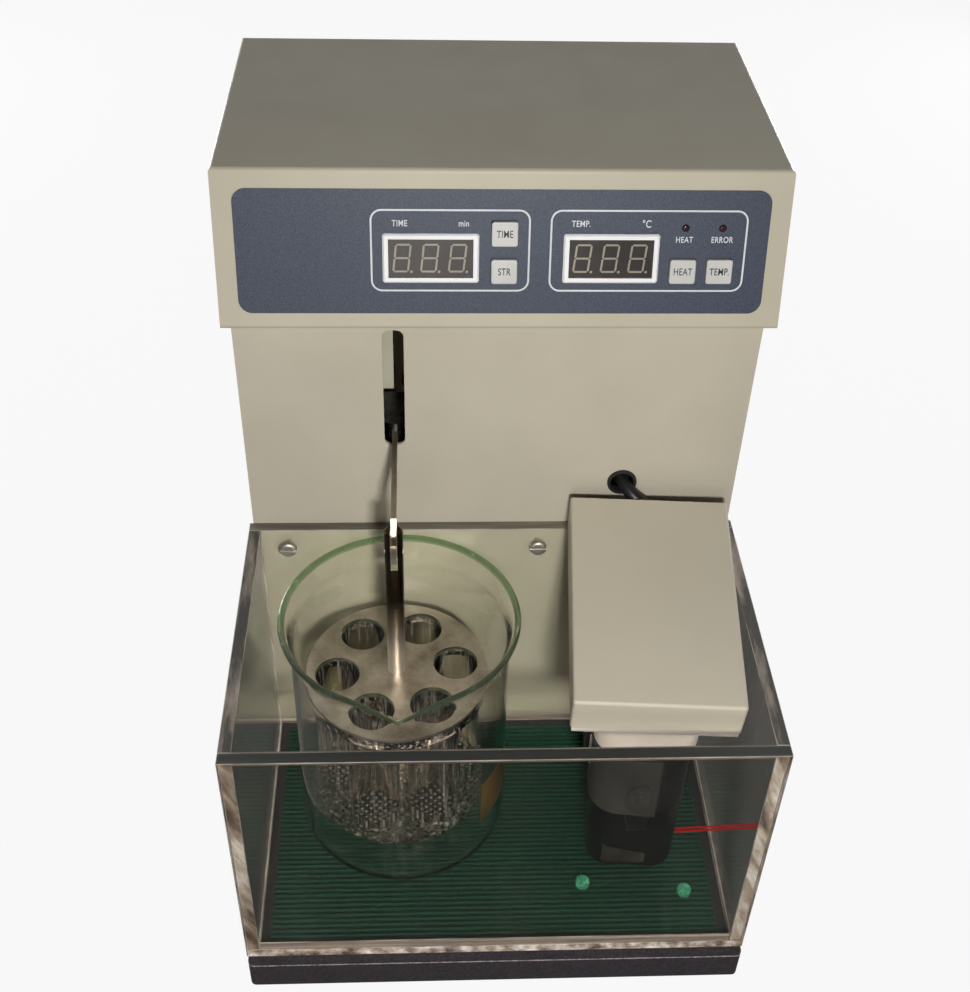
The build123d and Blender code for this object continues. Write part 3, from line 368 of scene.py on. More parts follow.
def let_lamps_through(tree, shader, tint):
    """Rays from the lamps pass the clear piece, tinted by it."""
    path = add_node(tree, "ShaderNodeLightPath")
    clear = add_node(tree, "ShaderNodeBsdfTransparent", Color=tint)
    blend(tree, path.outputs["Is Shadow Ray"], shader.outputs["BSDF"], clear.outputs["BSDF"],
          "Material Output")


def clear_solid(name, colour, ior, tint, smears=(0.0, 0.05), ripple=0.0, ripple_scale=60.0, drawn=1.0,
                clear=1.0, clearest=1.0):
    """Glass or clear plastic with faint smears.

    It may have a ripple drawn out upwards, and streaks where it is less clear and paler: partly water
    streaks, partly painted highlights."""
    finish, tree, shader = new_finish(name, IOR=ior, Transmission_Weight=1.0, Base_Color=colour)
    link(tree, spread(tree, grain(tree, 35.0, detail=5.0), *smears), shader.inputs["Roughness"])
    if ripple > 0:
        waves = grain(tree, ripple_scale, roughness=0.6, stretch=(1.0, 1.0, drawn))
        roughen(tree, shader, waves, ripple, distance=0.0004)
    if clear < 1:
        # Paler streaks where the piece is less clear: partly water streaks, partly painted highlights
        # on tubes, rims, studs and plates.
        streaks = grain(tree, 2 * ripple_scale, detail=4.0, roughness=0.7, stretch=(1.0, 1.0, drawn))
        streaks = spread(tree, streaks, clearest, clear, streak_and_highlight_start, streak_and_highlight_full)
        link(tree, streaks, shader.inputs["Transmission Weight"])
    let_lamps_through(tree, shader, tint)
    return finish


def sheet_edge(name, dark, middle, pale, stretch, scale=110.0, slant=0.0):
    """Edge of a clear sheet: cloudy, streaked the way it was sawn or glued."""
    finish, tree, shader = new_finish(name)
    leaning = add_node(tree, "ShaderNodeMapping", Rotation=(0.0, math.radians(slant), 0.0))
    drawn = add_node(tree, "ShaderNodeMapping", Scale=stretch)
    noise = add_node(tree, "ShaderNodeTexNoise", Scale=scale, Detail=5.0, Roughness=0.6)
    link(tree, object_place(tree), leaning.inputs["Vector"])
    link(tree, leaning.outputs["Vector"], drawn.inputs["Vector"])
    link(tree, drawn.outputs["Vector"], noise.inputs["Vector"])
    streaks = noise.outputs["Fac"]
    colours = shades(tree, streaks, [(0.34, dark), (0.5, middle), (0.68, pale)])
    link(tree, colours, shader.inputs["Base Color"])
    link(tree, spread(tree, streaks, 0.3, 0.55), shader.inputs["Roughness"])
    roughen(tree, shader, streaks, strength=0.25, distance=0.0003)
    return finish


def disc_plastic():
    """Clear disc scored with a fine diamond pattern."""
    finish, tree, shader = new_finish("disc_acrylic", IOR=1.46, Transmission_Weight=0.35)
    scores = []
    for turn in (45, -45):
        place = add_node(tree, "ShaderNodeMapping", Rotation=(0.0, 0.0, math.radians(turn)))
        link(tree, place_of(tree), place.inputs["Vector"])
        wave = add_node(tree, "ShaderNodeTexWave", Scale=110.0)
        link(tree, place.outputs["Vector"], wave.inputs["Vector"])
        scores.append(wave.outputs["Fac"])
    crossed = combine(tree, "MULTIPLY", *scores)
    colours = [(0.1, hue(30, 29, 29)), (0.5, hue(84, 82, 80)), (0.85, hue(186, 182, 180))]
    link(tree, shades(tree, crossed, colours), shader.inputs["Base Color"])
    link(tree, spread(tree, crossed, 0.05, 0.25), shader.inputs["Roughness"])
    roughen(tree, shader, crossed, strength=1.0, distance=0.001)
    let_lamps_through(tree, shader, hue(210, 214, 210))
    return finish


def speckled_enamel():
    """Dark wrinkle enamel of the base, with a painted highlight along its upper edge."""
    finish, tree, shader = new_finish("base_enamel", Specular_IOR_Level=0.4)
    wrinkles = grain(tree, 900.0, roughness=0.7)
    plain = shades(tree, wrinkles, [(0.35, hue(40, 37, 42)), (0.7, hue(72, 66, 72))])
    # Painted highlight: a bright speckle in a thin band just below the top of the base.
    worn = shades(tree, wrinkles, [(0.35, hue(96, 86, 92)), (0.65, hue(226, 212, 216))])
    edge = add_node(tree, "ShaderNodeMath", operation="COMPARE")
    edge.inputs[1].default_value = (tank_bottom - base_highlight_band) * MM
    edge.inputs[2].default_value = base_highlight_band / 2 * MM
    link(tree, height_of(tree), edge.inputs[0])
    mix = add_node(tree, "ShaderNodeMixRGB")
    link(tree, edge.outputs[0], mix.inputs["Fac"])
    link(tree, plain, mix.inputs["Color1"])
    link(tree, worn, mix.inputs["Color2"])
    link(tree, mix.outputs["Color"], shader.inputs["Base Color"])
    link(tree, spread(tree, wrinkles, 0.4, 0.6), shader.inputs["Roughness"])
    roughen(tree, shader, wrinkles, strength=0.6, distance=0.0003)
    return finish


def ribbed_rubber():
    """Green mat: pale rib tops worn unevenly, dark grooves."""
    finish, tree, shader = new_finish("ribbed_rubber")
    wave = add_node(tree, "ShaderNodeTexWave", bands_direction="Y", Distortion=0.0,
                    Scale=math.pi / (10 * mat_rib_pitch * MM))
    link(tree, place_of(tree), wave.inputs["Vector"])
    wear = grain(tree, 26.0, detail=6.0, roughness=0.65, stretch=(0.35, 3.0, 1.0))
    lines = shades(tree, wave.outputs["Fac"], [(0.35, hue(10, 40, 32)), (0.8, hue(40, 118, 92))])
    worn = add_node(tree, "ShaderNodeMixRGB", Color2=hue(16, 56, 44))
    link(tree, spread(tree, wear, 0.1, 0.95), worn.inputs["Fac"])
    link(tree, lines, worn.inputs["Color1"])
    link(tree, worn.outputs["Color"], shader.inputs["Base Color"])
    link(tree, spread(tree, grain(tree, 200.0), 0.4, 0.6), shader.inputs["Roughness"])
    roughen(tree, shader, wave.outputs["Fac"], strength=0.5, distance=0.0006)
    return finish


def printed_film():
    """Blue-grey printed film with a fine speckle."""
    finish, tree, shader = new_finish("printed_film", Specular_IOR_Level=0.35)
    speckle = grain(tree, 1500.0, detail=2.0)
    link(tree, shades(tree, speckle, [(0.35, hue(60, 67, 83)), (0.65, hue(76, 84, 100))]),
         shader.inputs["Base Color"])
    link(tree, spread(tree, grain(tree, 30.0), 0.38, 0.5), shader.inputs["Roughness"])
    roughen(tree, shader, speckle, strength=0.12, distance=0.0001)
    return finish


def rod_with_painted_shade():
    """Hanging rod, dark brown towards the top as painted shade and bright below as a painted highlight.
    """
    finish, tree, shader = new_finish("rod_steel", Metallic=1.0)
    # Painted shade and highlight: the rod's colour is bright low down and dark brown higher up.
    painted_shade_ramp = spread(tree, height_of(tree), 0.0, 1.0, rod_highlight_height * MM, rod_shade_height * MM)
    colours = [(0.0, hue(252, 242, 228)), (0.3, hue(176, 160, 142)), (0.55, hue(74, 60, 48))]
    link(tree, shades(tree, painted_shade_ramp, colours), shader.inputs["Base Color"])
    marks = grain(tree, 300.0, detail=4.0, roughness=0.6, stretch=(1.0, 1.0, 0.15))
    dullness = [(0.0, (0.5, 0.5, 0.5, 1.0)), (0.5, (0.26, 0.26, 0.26, 1.0))]
    link(tree, shades(tree, painted_shade_ramp, dullness), shader.inputs["Roughness"])
    roughen(tree, shader, marks, strength=0.2, distance=0.0001)
    return finish


def brushed_plate():
    """Stainless rack plate with fine circular turning marks and water stains."""
    finish, tree, shader = new_finish("brushed_plate", Metallic=1.0)
    middle = (-rack_centre[0] * MM, -rack_centre[1] * MM, 0.0)
    centred = add_node(tree, "ShaderNodeMapping", Location=middle)
    link(tree, object_place(tree), centred.inputs["Vector"])
    rings = add_node(tree, "ShaderNodeTexWave", wave_type="RINGS", rings_direction="Z", Scale=420.0,
                     Distortion=1.5, Detail=2.0)
    link(tree, centred.outputs["Vector"], rings.inputs["Vector"])
    stains = grain(tree, 45.0, detail=6.0, roughness=0.65)
    link(tree, shades(tree, stains, [(0.32, hue(136, 126, 112)), (0.66, hue(214, 205, 191))]),
         shader.inputs["Base Color"])
    link(tree, spread(tree, stains, 0.2, 0.5), shader.inputs["Roughness"])
    roughen(tree, shader, rings.outputs["Fac"], strength=0.14, distance=0.00006)
    return finish


ivory = hue(201, 195, 175)
ivory_deep = hue(194, 187, 167)
# A finish is found by its own name, without the number that is added where a slot has the same name
finishes = {finish.name.split(".")[0]: finish for finish in (
    enamel("case_enamel", ivory, ivory_deep),
    # The column's enamel is the head's beige made a little lighter: painted light for the lamp light
    # that falls off lower down.
    enamel("column_enamel", hue(206, 199, 181), hue(197, 190, 172), (0.26, 0.4), 0.35),
    enamel("hood_enamel", hue(214, 206, 187), hue(207, 199, 180)),
    speckled_enamel(),
    # The chassis plate's enamel is the case's beige made lighter: painted light for the dim inside of
    # the column.
    enamel("inner_enamel", hue(214, 210, 190), hue(196, 190, 170)),
    plastic("foot_rubber", hue(40, 39, 38), hue(28, 27, 27), (0.6, 0.8), 0.4, 900.0),
    ribbed_rubber(),
    # The tank's acrylic is tinted grey, though the real sheets are clear: painted shade that darkens
    # all that is seen through them, while lamp light passes almost untinted.
    clear_solid("tank_acrylic", hue(212, 212, 207), 1.2, hue(250, 250, 248), (0.0, 0.02)),
    clear_solid("rack_acrylic", hue(236, 226, 218), 1.4, hue(238, 238, 236), (0.02, 0.1), 0.15, 170.0,
                1.0, 0.5),
    clear_solid("beaker_glass", hue(250, 250, 247), 1.47, hue(248, 248, 246), (0.0, 0.01), 0.12, 45.0,
                0.12, 0.96),
    clear_solid("tube_glass", hue(246, 238, 232), 1.48, hue(246, 246, 244), (0.0, 0.01), 0.2, 260.0,
                0.05, 0.75),
    clear_solid("stud_acrylic", hue(132, 226, 192), 1.49, hue(200, 225, 218), (0.0, 0.05), 0.1, 150.0,
                1.0, 0.1, 0.78),
    clear_solid("rim_glass", hue(146, 172, 132), 1.5, hue(232, 238, 230), (0.0, 0.05), 0.1, 60.0, 1.0,
                0.5, 0.84),
    disc_plastic(),
    sheet_edge("side_edge", hue(82, 64, 52), hue(178, 160, 148), hue(255, 250, 244), (1.0, 1.0, 0.2),
               150.0, 24.0),
    sheet_edge("floor_edge", hue(96, 84, 78), hue(150, 134, 126), hue(226, 206, 196), (0.04, 1.0, 1.6),
               160.0),
    sheet_edge("edge_across", hue(80, 76, 68), hue(118, 112, 100), hue(156, 148, 134),
               (0.06, 1.0, 1.0)),
    sheet_edge("front_edge", hue(14, 17, 13), hue(26, 30, 23), hue(66, 66, 57), (0.05, 1.0, 1.0)),
    sheet_edge("edge_along", hue(30, 28, 25), hue(62, 57, 51), hue(184, 172, 160), (1.0, 0.16, 1.0),
               80.0),
    sheet_edge("rim_strip", hue(74, 66, 58), hue(104, 93, 83), hue(146, 132, 120), (0.04, 1.0, 2.5),
               220.0),
    plastic("edge_gleam", hue(190, 182, 170), hue(120, 112, 102), (0.2, 0.35), 0.1, 300.0),
    metal("bright_screw", hue(232, 228, 220), hue(206, 200, 190), (0.4, 0.55)),
    rod_with_painted_shade(),
    metal("probe_steel", hue(176, 162, 148), hue(128, 114, 102), (0.12, 0.24), (1.0, 1.0, 0.15)),
    metal("arm_steel", hue(222, 212, 200), hue(186, 174, 160), (0.24, 0.36), (1.0, 0.2, 1.0)),
    brushed_plate(),
    metal("screen_wire", hue(120, 116, 110), hue(84, 80, 76), (0.25, 0.4)),
    metal("guide_steel", hue(200, 200, 200), hue(160, 160, 160), (0.12, 0.22), (1.0, 1.0, 0.2)),
    metal("block_alloy", hue(70, 70, 72), hue(40, 40, 42), (0.22, 0.35)),
    metal("plated_steel", hue(186, 184, 178), hue(150, 148, 142), (0.3, 0.5)),
    metal("cast_alloy", hue(150, 150, 152), hue(120, 120, 122), (0.4, 0.6), scale=500.0, skin=0.4),
    enamel("motor_enamel", hue(62, 64, 66), hue(50, 52, 54)),
    plastic("board_mask", hue(30, 104, 66), hue(20, 84, 52), (0.25, 0.4)),
    printed_film(),
    plastic("key_plastic", hue(214, 214, 210), hue(202, 202, 198), (0.32, 0.45)),
    plastic("bezel_plastic", hue(254, 254, 255), hue(248, 248, 250), (0.35, 0.5)),
    plastic("display_smoke", hue(66, 61, 60), hue(56, 51, 50), (0.18, 0.3), 0.05),
    plastic("lamp_lens", hue(70, 40, 44), hue(52, 30, 34), (0.1, 0.2), 0.02),
    plastic("level_film", hue(158, 14, 16), hue(120, 6, 8), (0.2, 0.3), 0.02),
    plastic("pump_pale", hue(214, 202, 190), hue(200, 188, 176), (0.3, 0.45)),
    plastic("floor_plate", hue(250, 240, 232), hue(242, 230, 222), (0.3, 0.45)),
    plastic("pump_grey", hue(66, 63, 61), hue(56, 53, 51), (0.3, 0.45)),
    plastic("pump_black", hue(30, 28, 29), hue(20, 19, 20), (0.22, 0.4)),
    metal("clip_steel", hue(236, 234, 230), hue(206, 204, 200), (0.3, 0.45)),
    sheet_edge("cup_window", hue(28, 26, 22), hue(54, 49, 41), hue(96, 88, 74), (1.0, 1.0, 1.0), 70.0),
    plastic("cup_smoke", hue(24, 22, 23), hue(16, 15, 16), (0.1, 0.2), 0.05),
    plastic("cable_jacket", hue(30, 28, 28), hue(20, 19, 19), (0.35, 0.5), 0.2, 700.0),
    plastic("inlet_black", hue(36, 36, 37), hue(26, 26, 27), (0.3, 0.45)),
    plastic("white_ink", hue(226, 228, 232), hue(214, 216, 222), (0.4, 0.5), 0.05),
    plastic("dark_ink", hue(46, 46, 50), hue(36, 36, 40), (0.4, 0.5), 0.05),
    plastic("segment_resin", hue(172, 164, 146), hue(152, 145, 128), (0.25, 0.4), 0.05),
    plastic("mark_enamel", hue(112, 88, 46), hue(72, 58, 32), (0.3, 0.5), 0.2),
)}

carried = {
    "case_enamel": ["head_cover"], "column_enamel": ["column_shell", "rear_cover"],
    "hood_enamel": ["pump_hood"], "base_enamel": ["base_plate"], "inner_enamel": ["chassis_plate"],
    "foot_rubber": ["rubber_feet", "cable_grommet"], "ribbed_rubber": ["ribbed_mat"],
    "tank_acrylic": ["tank_floor", "tank_front", "tank_back", "tank_sides"],
    "stud_acrylic": ["floor_studs"], "rack_acrylic": ["upper_plate", "lower_plate"],
    "disc_acrylic": [f"disc_{k + 1}" for k in range(tube_count)],
    "bright_screw": ["tank_screws", "case_screws", "basket_nut", "hook_pin"],
    "rod_steel": ["basket_rod"], "arm_steel": ["lift_arm"],
    "probe_steel": ["temperature_probe", "heater_tube"],
    "brushed_plate": ["top_plate"], "guide_steel": ["guide_rods", "crank_disc", "connecting_link"],
    "block_alloy": ["lift_block", "guide_rod_blocks"],
    "plated_steel": ["motor_bracket", "power_supply"], "cast_alloy": ["gearbox"],
    "motor_enamel": ["drive_motor"], "board_mask": ["control_board"],
    "printed_film": ["panel_overlay"], "key_plastic": list(key_words), "level_film": ["level_mark"],
    "bezel_plastic": ["display_frames"], "display_smoke": ["display_modules"],
    "lamp_lens": ["indicator_lights"], "floor_plate": ["hood_floor"],
    "pump_pale": ["pump_head"], "pump_black": ["pump_body"], "cup_smoke": ["pump_cup"],
    "cable_jacket": ["pump_cable"], "inlet_black": ["power_inlet", "power_rocker"],
    "beaker_glass": ["beaker"], "tube_glass": ["glass_tubes"], "screen_wire": ["wire_mesh"],
}
for finish_name, node_names in carried.items():
    for node_name in node_names:
        for material_slot in nodes[node_name].material_slots:
            material_slot.material = finishes[finish_name]


# Mesh helpers

def add_piece(name, bm, finish, body, angle=plain_angle):
    """Finish a mesh that was modelled in millimetres and hang it on its body."""
    bmesh.ops.scale(bm, vec=(MM, MM, MM), verts=bm.verts)
    mesh = bpy.data.meshes.new(name)
    bm.to_mesh(mesh)
    bm.free()
    mesh.shade_smooth()
    mesh.set_sharp_from_angle(angle=angle)
    obj = bpy.data.objects.new(name, mesh)
    scene.collection.objects.link(obj)
    mesh.materials.append(finishes[finish])
    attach(obj, body)
    return obj


def lathe(bm, profile, steps, centre):
    """Spin a profile of (radius, height) points round an upright axis."""
    verts = [bm.verts.new((radius, 0, height)) for radius, height in profile]
    edges = [bm.edges.new(pair) for pair in zip(verts, verts[1:])]
    if profile[0][0] > 0:
        edges.append(bm.edges.new((verts[-1], verts[0])))
    bmesh.ops.spin(bm, geom=verts + edges, cent=(0, 0, 0), axis=(0, 0, 1), angle=2 * math.pi,
                   steps=steps, use_merge=True, use_duplicate=False)
    bmesh.ops.remove_doubles(bm, verts=bm.verts, dist=merge_distance)
    bmesh.ops.translate(bm, verts=bm.verts, vec=(centre[0], centre[1], 0))
    bmesh.ops.recalc_face_normals(bm, faces=bm.faces)


def absorb(bm, part):
    """Add a separate mesh to a larger one and let it go."""
    mesh = bpy.data.meshes.new("part")
    part.to_mesh(mesh)
    part.free()
    bm.from_mesh(mesh)
    bpy.data.meshes.remove(mesh)


def bevel(bm, geom, offset, segments, affect="EDGES"):
    """Round or break edges or corners by a fixed distance."""
    return bmesh.ops.bevel(bm, geom=geom, offset=offset, offset_type="OFFSET", segments=segments,
                           profile=0.5, affect=affect, material=-1)


def extrude_rim(bm, rim, step):
    """Draw an open rim out by a step, and return the new points and the new rim."""
    made = bmesh.ops.extrude_edge_only(bm, edges=rim)["geom"]
    verts = [item for item in made if isinstance(item, bmesh.types.BMVert)]
    bmesh.ops.translate(bm, verts=verts, vec=step)
    return verts, [item for item in made if isinstance(item, bmesh.types.BMEdge)]


def rounded_block(size, edge, narrowing=1.0):
    """A block with rounded edges round the origin, narrower across at its foot if asked."""
    bm = bmesh.new()
    bmesh.ops.create_cube(bm, size=1.0)
    bmesh.ops.scale(bm, vec=size, verts=bm.verts)
    for vert in bm.verts:
        if vert.co.z < 0:
            vert.co.x *= narrowing
    bevel(bm, bm.edges[:], edge, 3)
    return bm


def arc(centre, radius, start, end, steps):
    """Points of an arc in a profile, angles in degrees."""
    turns = [math.radians(start + (end - start) * k / steps) for k in range(steps + 1)]
    return [(centre[0] + radius * math.cos(t), centre[1] + radius * math.sin(t)) for t in turns]


def tube_places():
    """Centres of the six tubes."""
    across, along = rack_centre
    turns = [rack_turn + 2 * math.pi * k / tube_count for k in range(tube_count)]
    return [(across + tube_circle * math.cos(t), along + tube_circle * math.sin(t)) for t in turns]


def panel_matrix(across, down, lift):
    """From flat drawing axes to the leaning face: x across, y up the face, z out of it."""
    sine = math.sin(head_lean)
    cosine = math.cos(head_lean)
    turn = Matrix(((1, 0, 0), (0, sine, -cosine), (0, cosine, sine))).to_4x4()
    corner = Matrix.Translation((0, head_top_front, head_top))
    return corner @ turn @ Matrix.Translation((across, -down, lift))


# Beaker and rack

def beaker_profile():
    """Section of the beaker's wall: under the floor, up the outside, over the bead, down the inside."""
    floor = tank_floor_top
    top = floor + beaker_height
    bend = beaker_radius - beaker_corner
    neck = top - flare_height - beaker_straight
    spread_out = rim_radius - rim_bead - beaker_radius
    flare = [(spread_out * (k / flare_steps) ** flare_curve,
              top - flare_height + (flare_height - 2 * rim_bead) * k / flare_steps)
             for k in range(flare_steps + 1)]
    outer = [(0, floor + beaker_dish_rise),
             (beaker_radius - beaker_foot_inset, floor + beaker_foot_rise), (bend, floor)]
    outer += arc((bend, floor + beaker_corner), beaker_corner, -80, 0, bend_steps)
    outer += [(beaker_radius, floor + beaker_low_ring), (beaker_radius, neck)]
    outer += [(beaker_radius + reach, height) for reach, height in flare]
    bead = arc((rim_radius - rim_bead, top - rim_bead), rim_bead, -50, 180, bend_steps)
    inside = beaker_radius - beaker_wall
    turn = beaker_corner - beaker_wall
    inner = [(inside + reach, height) for reach, height in reversed(flare)]
    inner += [(inside, neck), (inside, floor + beaker_low_ring)]
    inner += arc((inside - turn, floor + beaker_floor + turn), turn, 0, -85, bend_steps - 1)
    inner.append((0, floor + beaker_floor))
    return outer + bead + inner


def pull_spout(bm):
    """Draw the rim out to a pouring lip at the front."""
    top = tank_floor_top + beaker_height
    for vert in bm.verts:
        x = vert.co.x - beaker_centre[0]
        y = vert.co.y - beaker_centre[1]
        rise = (vert.co.z - (top - spout_drop)) / spout_drop
        if rise <= 0 or math.hypot(x, y) < beaker_radius - spout_inner_gap:
            continue
        turn = abs(math.atan2(x, -y))
        if turn >= spout_half_angle:
            continue
        share = (1 - turn / spout_half_angle) ** spout_side_curve * rise ** spout_rise_curve
        vert.co += Vector((x, y, 0)).normalized() * spout_reach * share
        vert.co.x -= x * spout_pinch * share


def mark_rims(bm, above, below):
    """Give the faces of the fire-rounded rims the second material."""
    for face in bm.faces:
        height = face.calc_center_median().z
        if height > above or height < below < above:
            face.material_index = 1


def make_beaker():
    """Blown beaker with a beaded rim and a pouring lip."""
    bm = bmesh.new()
    lathe(bm, beaker_profile(), beaker_steps, beaker_centre)
    pull_spout(bm)
    mark_rims(bm, tank_floor_top + beaker_height - 2 * rim_bead, 0)
    beaker = add_piece("beaker_glass", bm, "beaker_glass", "beaker", glass_angle)
    beaker.data.materials.append(finishes["rim_glass"])
    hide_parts("beaker")


def wall_patch(bm, start, end, low, high, steps):
    """A thin printed patch that follows the beaker's outer wall, angles in degrees from +X."""
    radius = beaker_radius + note_gap
    turns = [math.radians(start + (end - start) * k / steps) for k in range(steps + 1)]
    across, along = beaker_centre
    edges = []
    for z in (low, high):
        row = [bm.verts.new((across + radius * math.cos(t), along + radius * math.sin(t), z))
               for t in turns]
        edges += [bm.edges.new(pair) for pair in zip(row, row[1:])]
    bmesh.ops.bridge_loops(bm, edges=edges)


def make_note_field():
    """Amber enamel field for pencil notes on the beaker's front right."""
    bm = bmesh.new()
    wall_patch(bm, *note_angles, *note_heights, note_steps)
    bmesh.ops.solidify(bm, geom=bm.faces[:], thickness=note_thickness)
    bmesh.ops.recalc_face_normals(bm, faces=bm.faces)
    add_piece("beaker_note_field", bm, "mark_enamel", "beaker")


def make_tubes():
    """Open glass tubes with fire-rounded ends."""
    bm = bmesh.new()
    middle = tube_bore + tube_wall / 2
    half = tube_wall / 2
    profile = arc((middle, tube_top - half), half, 0, 180, tube_end_steps)
    profile += arc((middle, tube_bottom + half), half, 180, 360, tube_end_steps)
    for place in tube_places():
        part = bmesh.new()
        lathe(part, profile, tube_steps, place)
        absorb(bm, part)
    mark_rims(bm, tube_top - half, tube_bottom + half)
    tubes = add_piece("glass_tube_set", bm, "tube_glass", "basket", glass_angle)
    tubes.data.materials.append(finishes["rim_glass"])
    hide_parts("glass_tubes")


def woven_wire(bm, reach, offset, along, phase):
    """One wire of the screen, bent over and under the wires that cross it."""
    steps = max(2, int(2 * reach / (wire_pitch / 2)))
    ring = bmesh.ops.create_circle(bm, segments=wire_sides, radius=wire_radius)["verts"]
    turn = Matrix.Rotation(math.pi / 2, 3, "Y")
    bmesh.ops.rotate(bm, cent=(0, 0, 0), matrix=turn, verts=ring)
    start = Vector((-reach, offset, wire_sway * math.cos(phase)))
    bmesh.ops.translate(bm, verts=ring, vec=start)
    wire = list(ring)
    rim = list({edge for vert in ring for edge in vert.link_edges})
    here = start
    for k in range(1, steps + 1):
        x = -reach + 2 * reach * k / steps
        there = Vector((x, offset, wire_sway * math.cos(phase + math.pi * (x + reach) / wire_pitch)))
        verts, rim = extrude_rim(bm, rim, there - here)
        here = there
        wire += verts
    if along == "Y":
        bmesh.ops.rotate(bm, cent=(0, 0, 0), matrix=Matrix.Rotation(math.pi / 2, 3, "Z"), verts=wire)


def make_screen():
    """Woven wire screen clamped under the tubes."""
    bm = bmesh.new()
    count = int((rack_radius - wire_edge_gap) / wire_pitch)
    for along in ("X", "Y"):
        for k in range(-count, count + 1):
            offset = k * wire_pitch
            reach = math.sqrt((rack_radius - wire_end_gap) ** 2 - offset ** 2)
            wire = bmesh.new()
            woven_wire(wire, reach, offset, along, math.pi * (k % 2))
            absorb(bm, wire)
    turn = Matrix.Rotation(rack_turn + math.pi / 4, 3, "Z")
    bmesh.ops.rotate(bm, cent=(0, 0, 0), matrix=turn, verts=bm.verts)
    bmesh.ops.translate(bm, verts=bm.verts, vec=(rack_centre[0], rack_centre[1], screen_middle))
    screen = add_piece("woven_screen", bm, "screen_wire", "basket")
    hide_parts("wire_mesh")


# Control panel

def word_mesh(bm, text, size, squeeze, matrix):
    """Add flat lettering, centred, to a mesh."""
    curve = bpy.data.curves.new("word", "FONT")
    curve.body = text
    curve.size = size
    curve.align_x = "CENTER"
    curve.align_y = "CENTER"
    curve.space_character = word_spacing
    curve.offset = word_weight * size
    holder = bpy.data.objects.new("word", curve)
    mesh = bpy.data.meshes.new_from_object(holder)
    mesh.transform(matrix @ Matrix.Diagonal((squeeze, 1, 1, 1)))
    bm.from_mesh(mesh)
    bpy.data.objects.remove(holder)
    bpy.data.curves.remove(curve)
    bpy.data.meshes.remove(mesh)


def outline_box(bm, left, right, top, bottom):
    """A thin line round a box with round corners, flat on the panel."""
    face = bmesh.ops.create_grid(bm, x_segments=1, y_segments=1, size=0.5)["verts"]
    bmesh.ops.scale(bm, vec=(right - left, bottom - top, 1), verts=face)
    corners = bevel(bm, face, outline_corner, outline_steps, "VERTICES")["verts"]
    verts = list({vert for vert in list(face) + list(corners) if vert.is_valid})
    faces = list({item for vert in verts for item in vert.link_faces})
    inset = bmesh.ops.inset_region(bm, faces=faces, thickness=outline_width, use_boundary=True,
                                   use_even_offset=True)
    bmesh.ops.delete(bm, geom=faces, context="FACES_ONLY")
    verts = list({vert for item in inset["faces"] for vert in item.verts})
    matrix = panel_matrix((left + right) / 2, (top + bottom) / 2, print_lift)
    bmesh.ops.transform(bm, matrix=matrix, verts=verts)


def make_panel_print():
    """White outlines and words of the panel."""
    bm = bmesh.new()
    for left, right, top, bottom in outline_boxes:
        outline_box(bm, left, right, top, bottom)
    for text, across, down, size in panel_words:
        word_mesh(bm, text, size, panel_word_squeeze, panel_matrix(across, down, print_lift))
    add_piece("panel_lettering", bm, "white_ink", "frame")


def make_key_words():
    """Dark word on top of each push button."""
    for key, (text, across, down) in key_words.items():
        bm = bmesh.new()
        matrix = panel_matrix(across, down, key_top + key_word_lift)
        word_mesh(bm, text, key_word_size, key_word_squeeze, matrix)
        add_piece(key.replace("button", "word"), bm, "dark_ink", key)


def segment(bm, start, end, matrix):
    """One bar of a numeral, pointed at both ends."""
    start = Vector(start)
    end = Vector(end)
    length = (end - start).length - segment_gap
    bar = bmesh.ops.create_grid(bm, x_segments=1, y_segments=1, size=0.5)["verts"]
    bmesh.ops.scale(bm, vec=(length, segment_width, 1), verts=bar)
    made = bevel(bm, bar, segment_width * segment_point_share, 1, "VERTICES")
    bar = list({vert for vert in list(bar) + list(made["verts"]) if vert.is_valid})
    slope = math.atan2(end.y - start.y, end.x - start.x)
    middle = (start + end) / 2
    shape = Matrix.Translation((middle.x, middle.y, 0)) @ Matrix.Rotation(slope, 4, "Z")
    bmesh.ops.transform(bm, matrix=matrix @ shape, verts=bar)


def make_digits():
    """Unlit seven-bar numerals with their points, three in each window."""
    bm = bmesh.new()
    half_w = digit_width / 2
    half_h = digit_height / 2
    bars = [((-half_w, y), (half_w, y)) for y in (half_h, 0, -half_h)]
    bars += [((x, low), (x, low + half_h)) for low in (0, -half_h) for x in (-half_w, half_w)]
    slant = Matrix.Identity(4)
    slant[0][1] = digit_slant
    for window in window_acrosses:
        for k in (-1, 0, 1):
            across = window + k * digit_pitch + digit_shift
            matrix = panel_matrix(across, window_down, window_front + digit_lift) @ slant
            for start, end in bars:
                segment(bm, start, end, matrix)
            point = bmesh.ops.create_circle(bm, segments=point_sides, radius=point_radius,
                                            cap_ends=True)["verts"]
            place = Matrix.Translation((half_w + point_across, -half_h - point_down, 0))
            bmesh.ops.transform(bm, matrix=matrix @ place, verts=point)
    add_piece("display_numerals", bm, "segment_resin", "frame")


# Tank

def make_sheet(bm, low, high):
    """One clear sheet between two corners: material 1 on its edges, 2 on top, 3 on broken corners."""
    part = bmesh.new()
    bmesh.ops.create_cube(part, size=1.0)
    sizes = Vector(high) - Vector(low)
    bmesh.ops.scale(part, vec=sizes, verts=part.verts)
    bmesh.ops.translate(part, verts=part.verts, vec=(Vector(low) + Vector(high)) / 2)
    bevel(part, part.edges[:], tank_edge_round, 2)
    thin = min(range(3), key=lambda axis: sizes[axis])
    for face in part.faces:
        along = max(range(3), key=lambda axis: abs(face.normal[axis]))
        if abs(face.normal[along]) < flat_enough:
            face.material_index = 3
        elif along != thin:
            face.material_index = 2 if face.normal.z > flat_enough else 1
    absorb(bm, part)


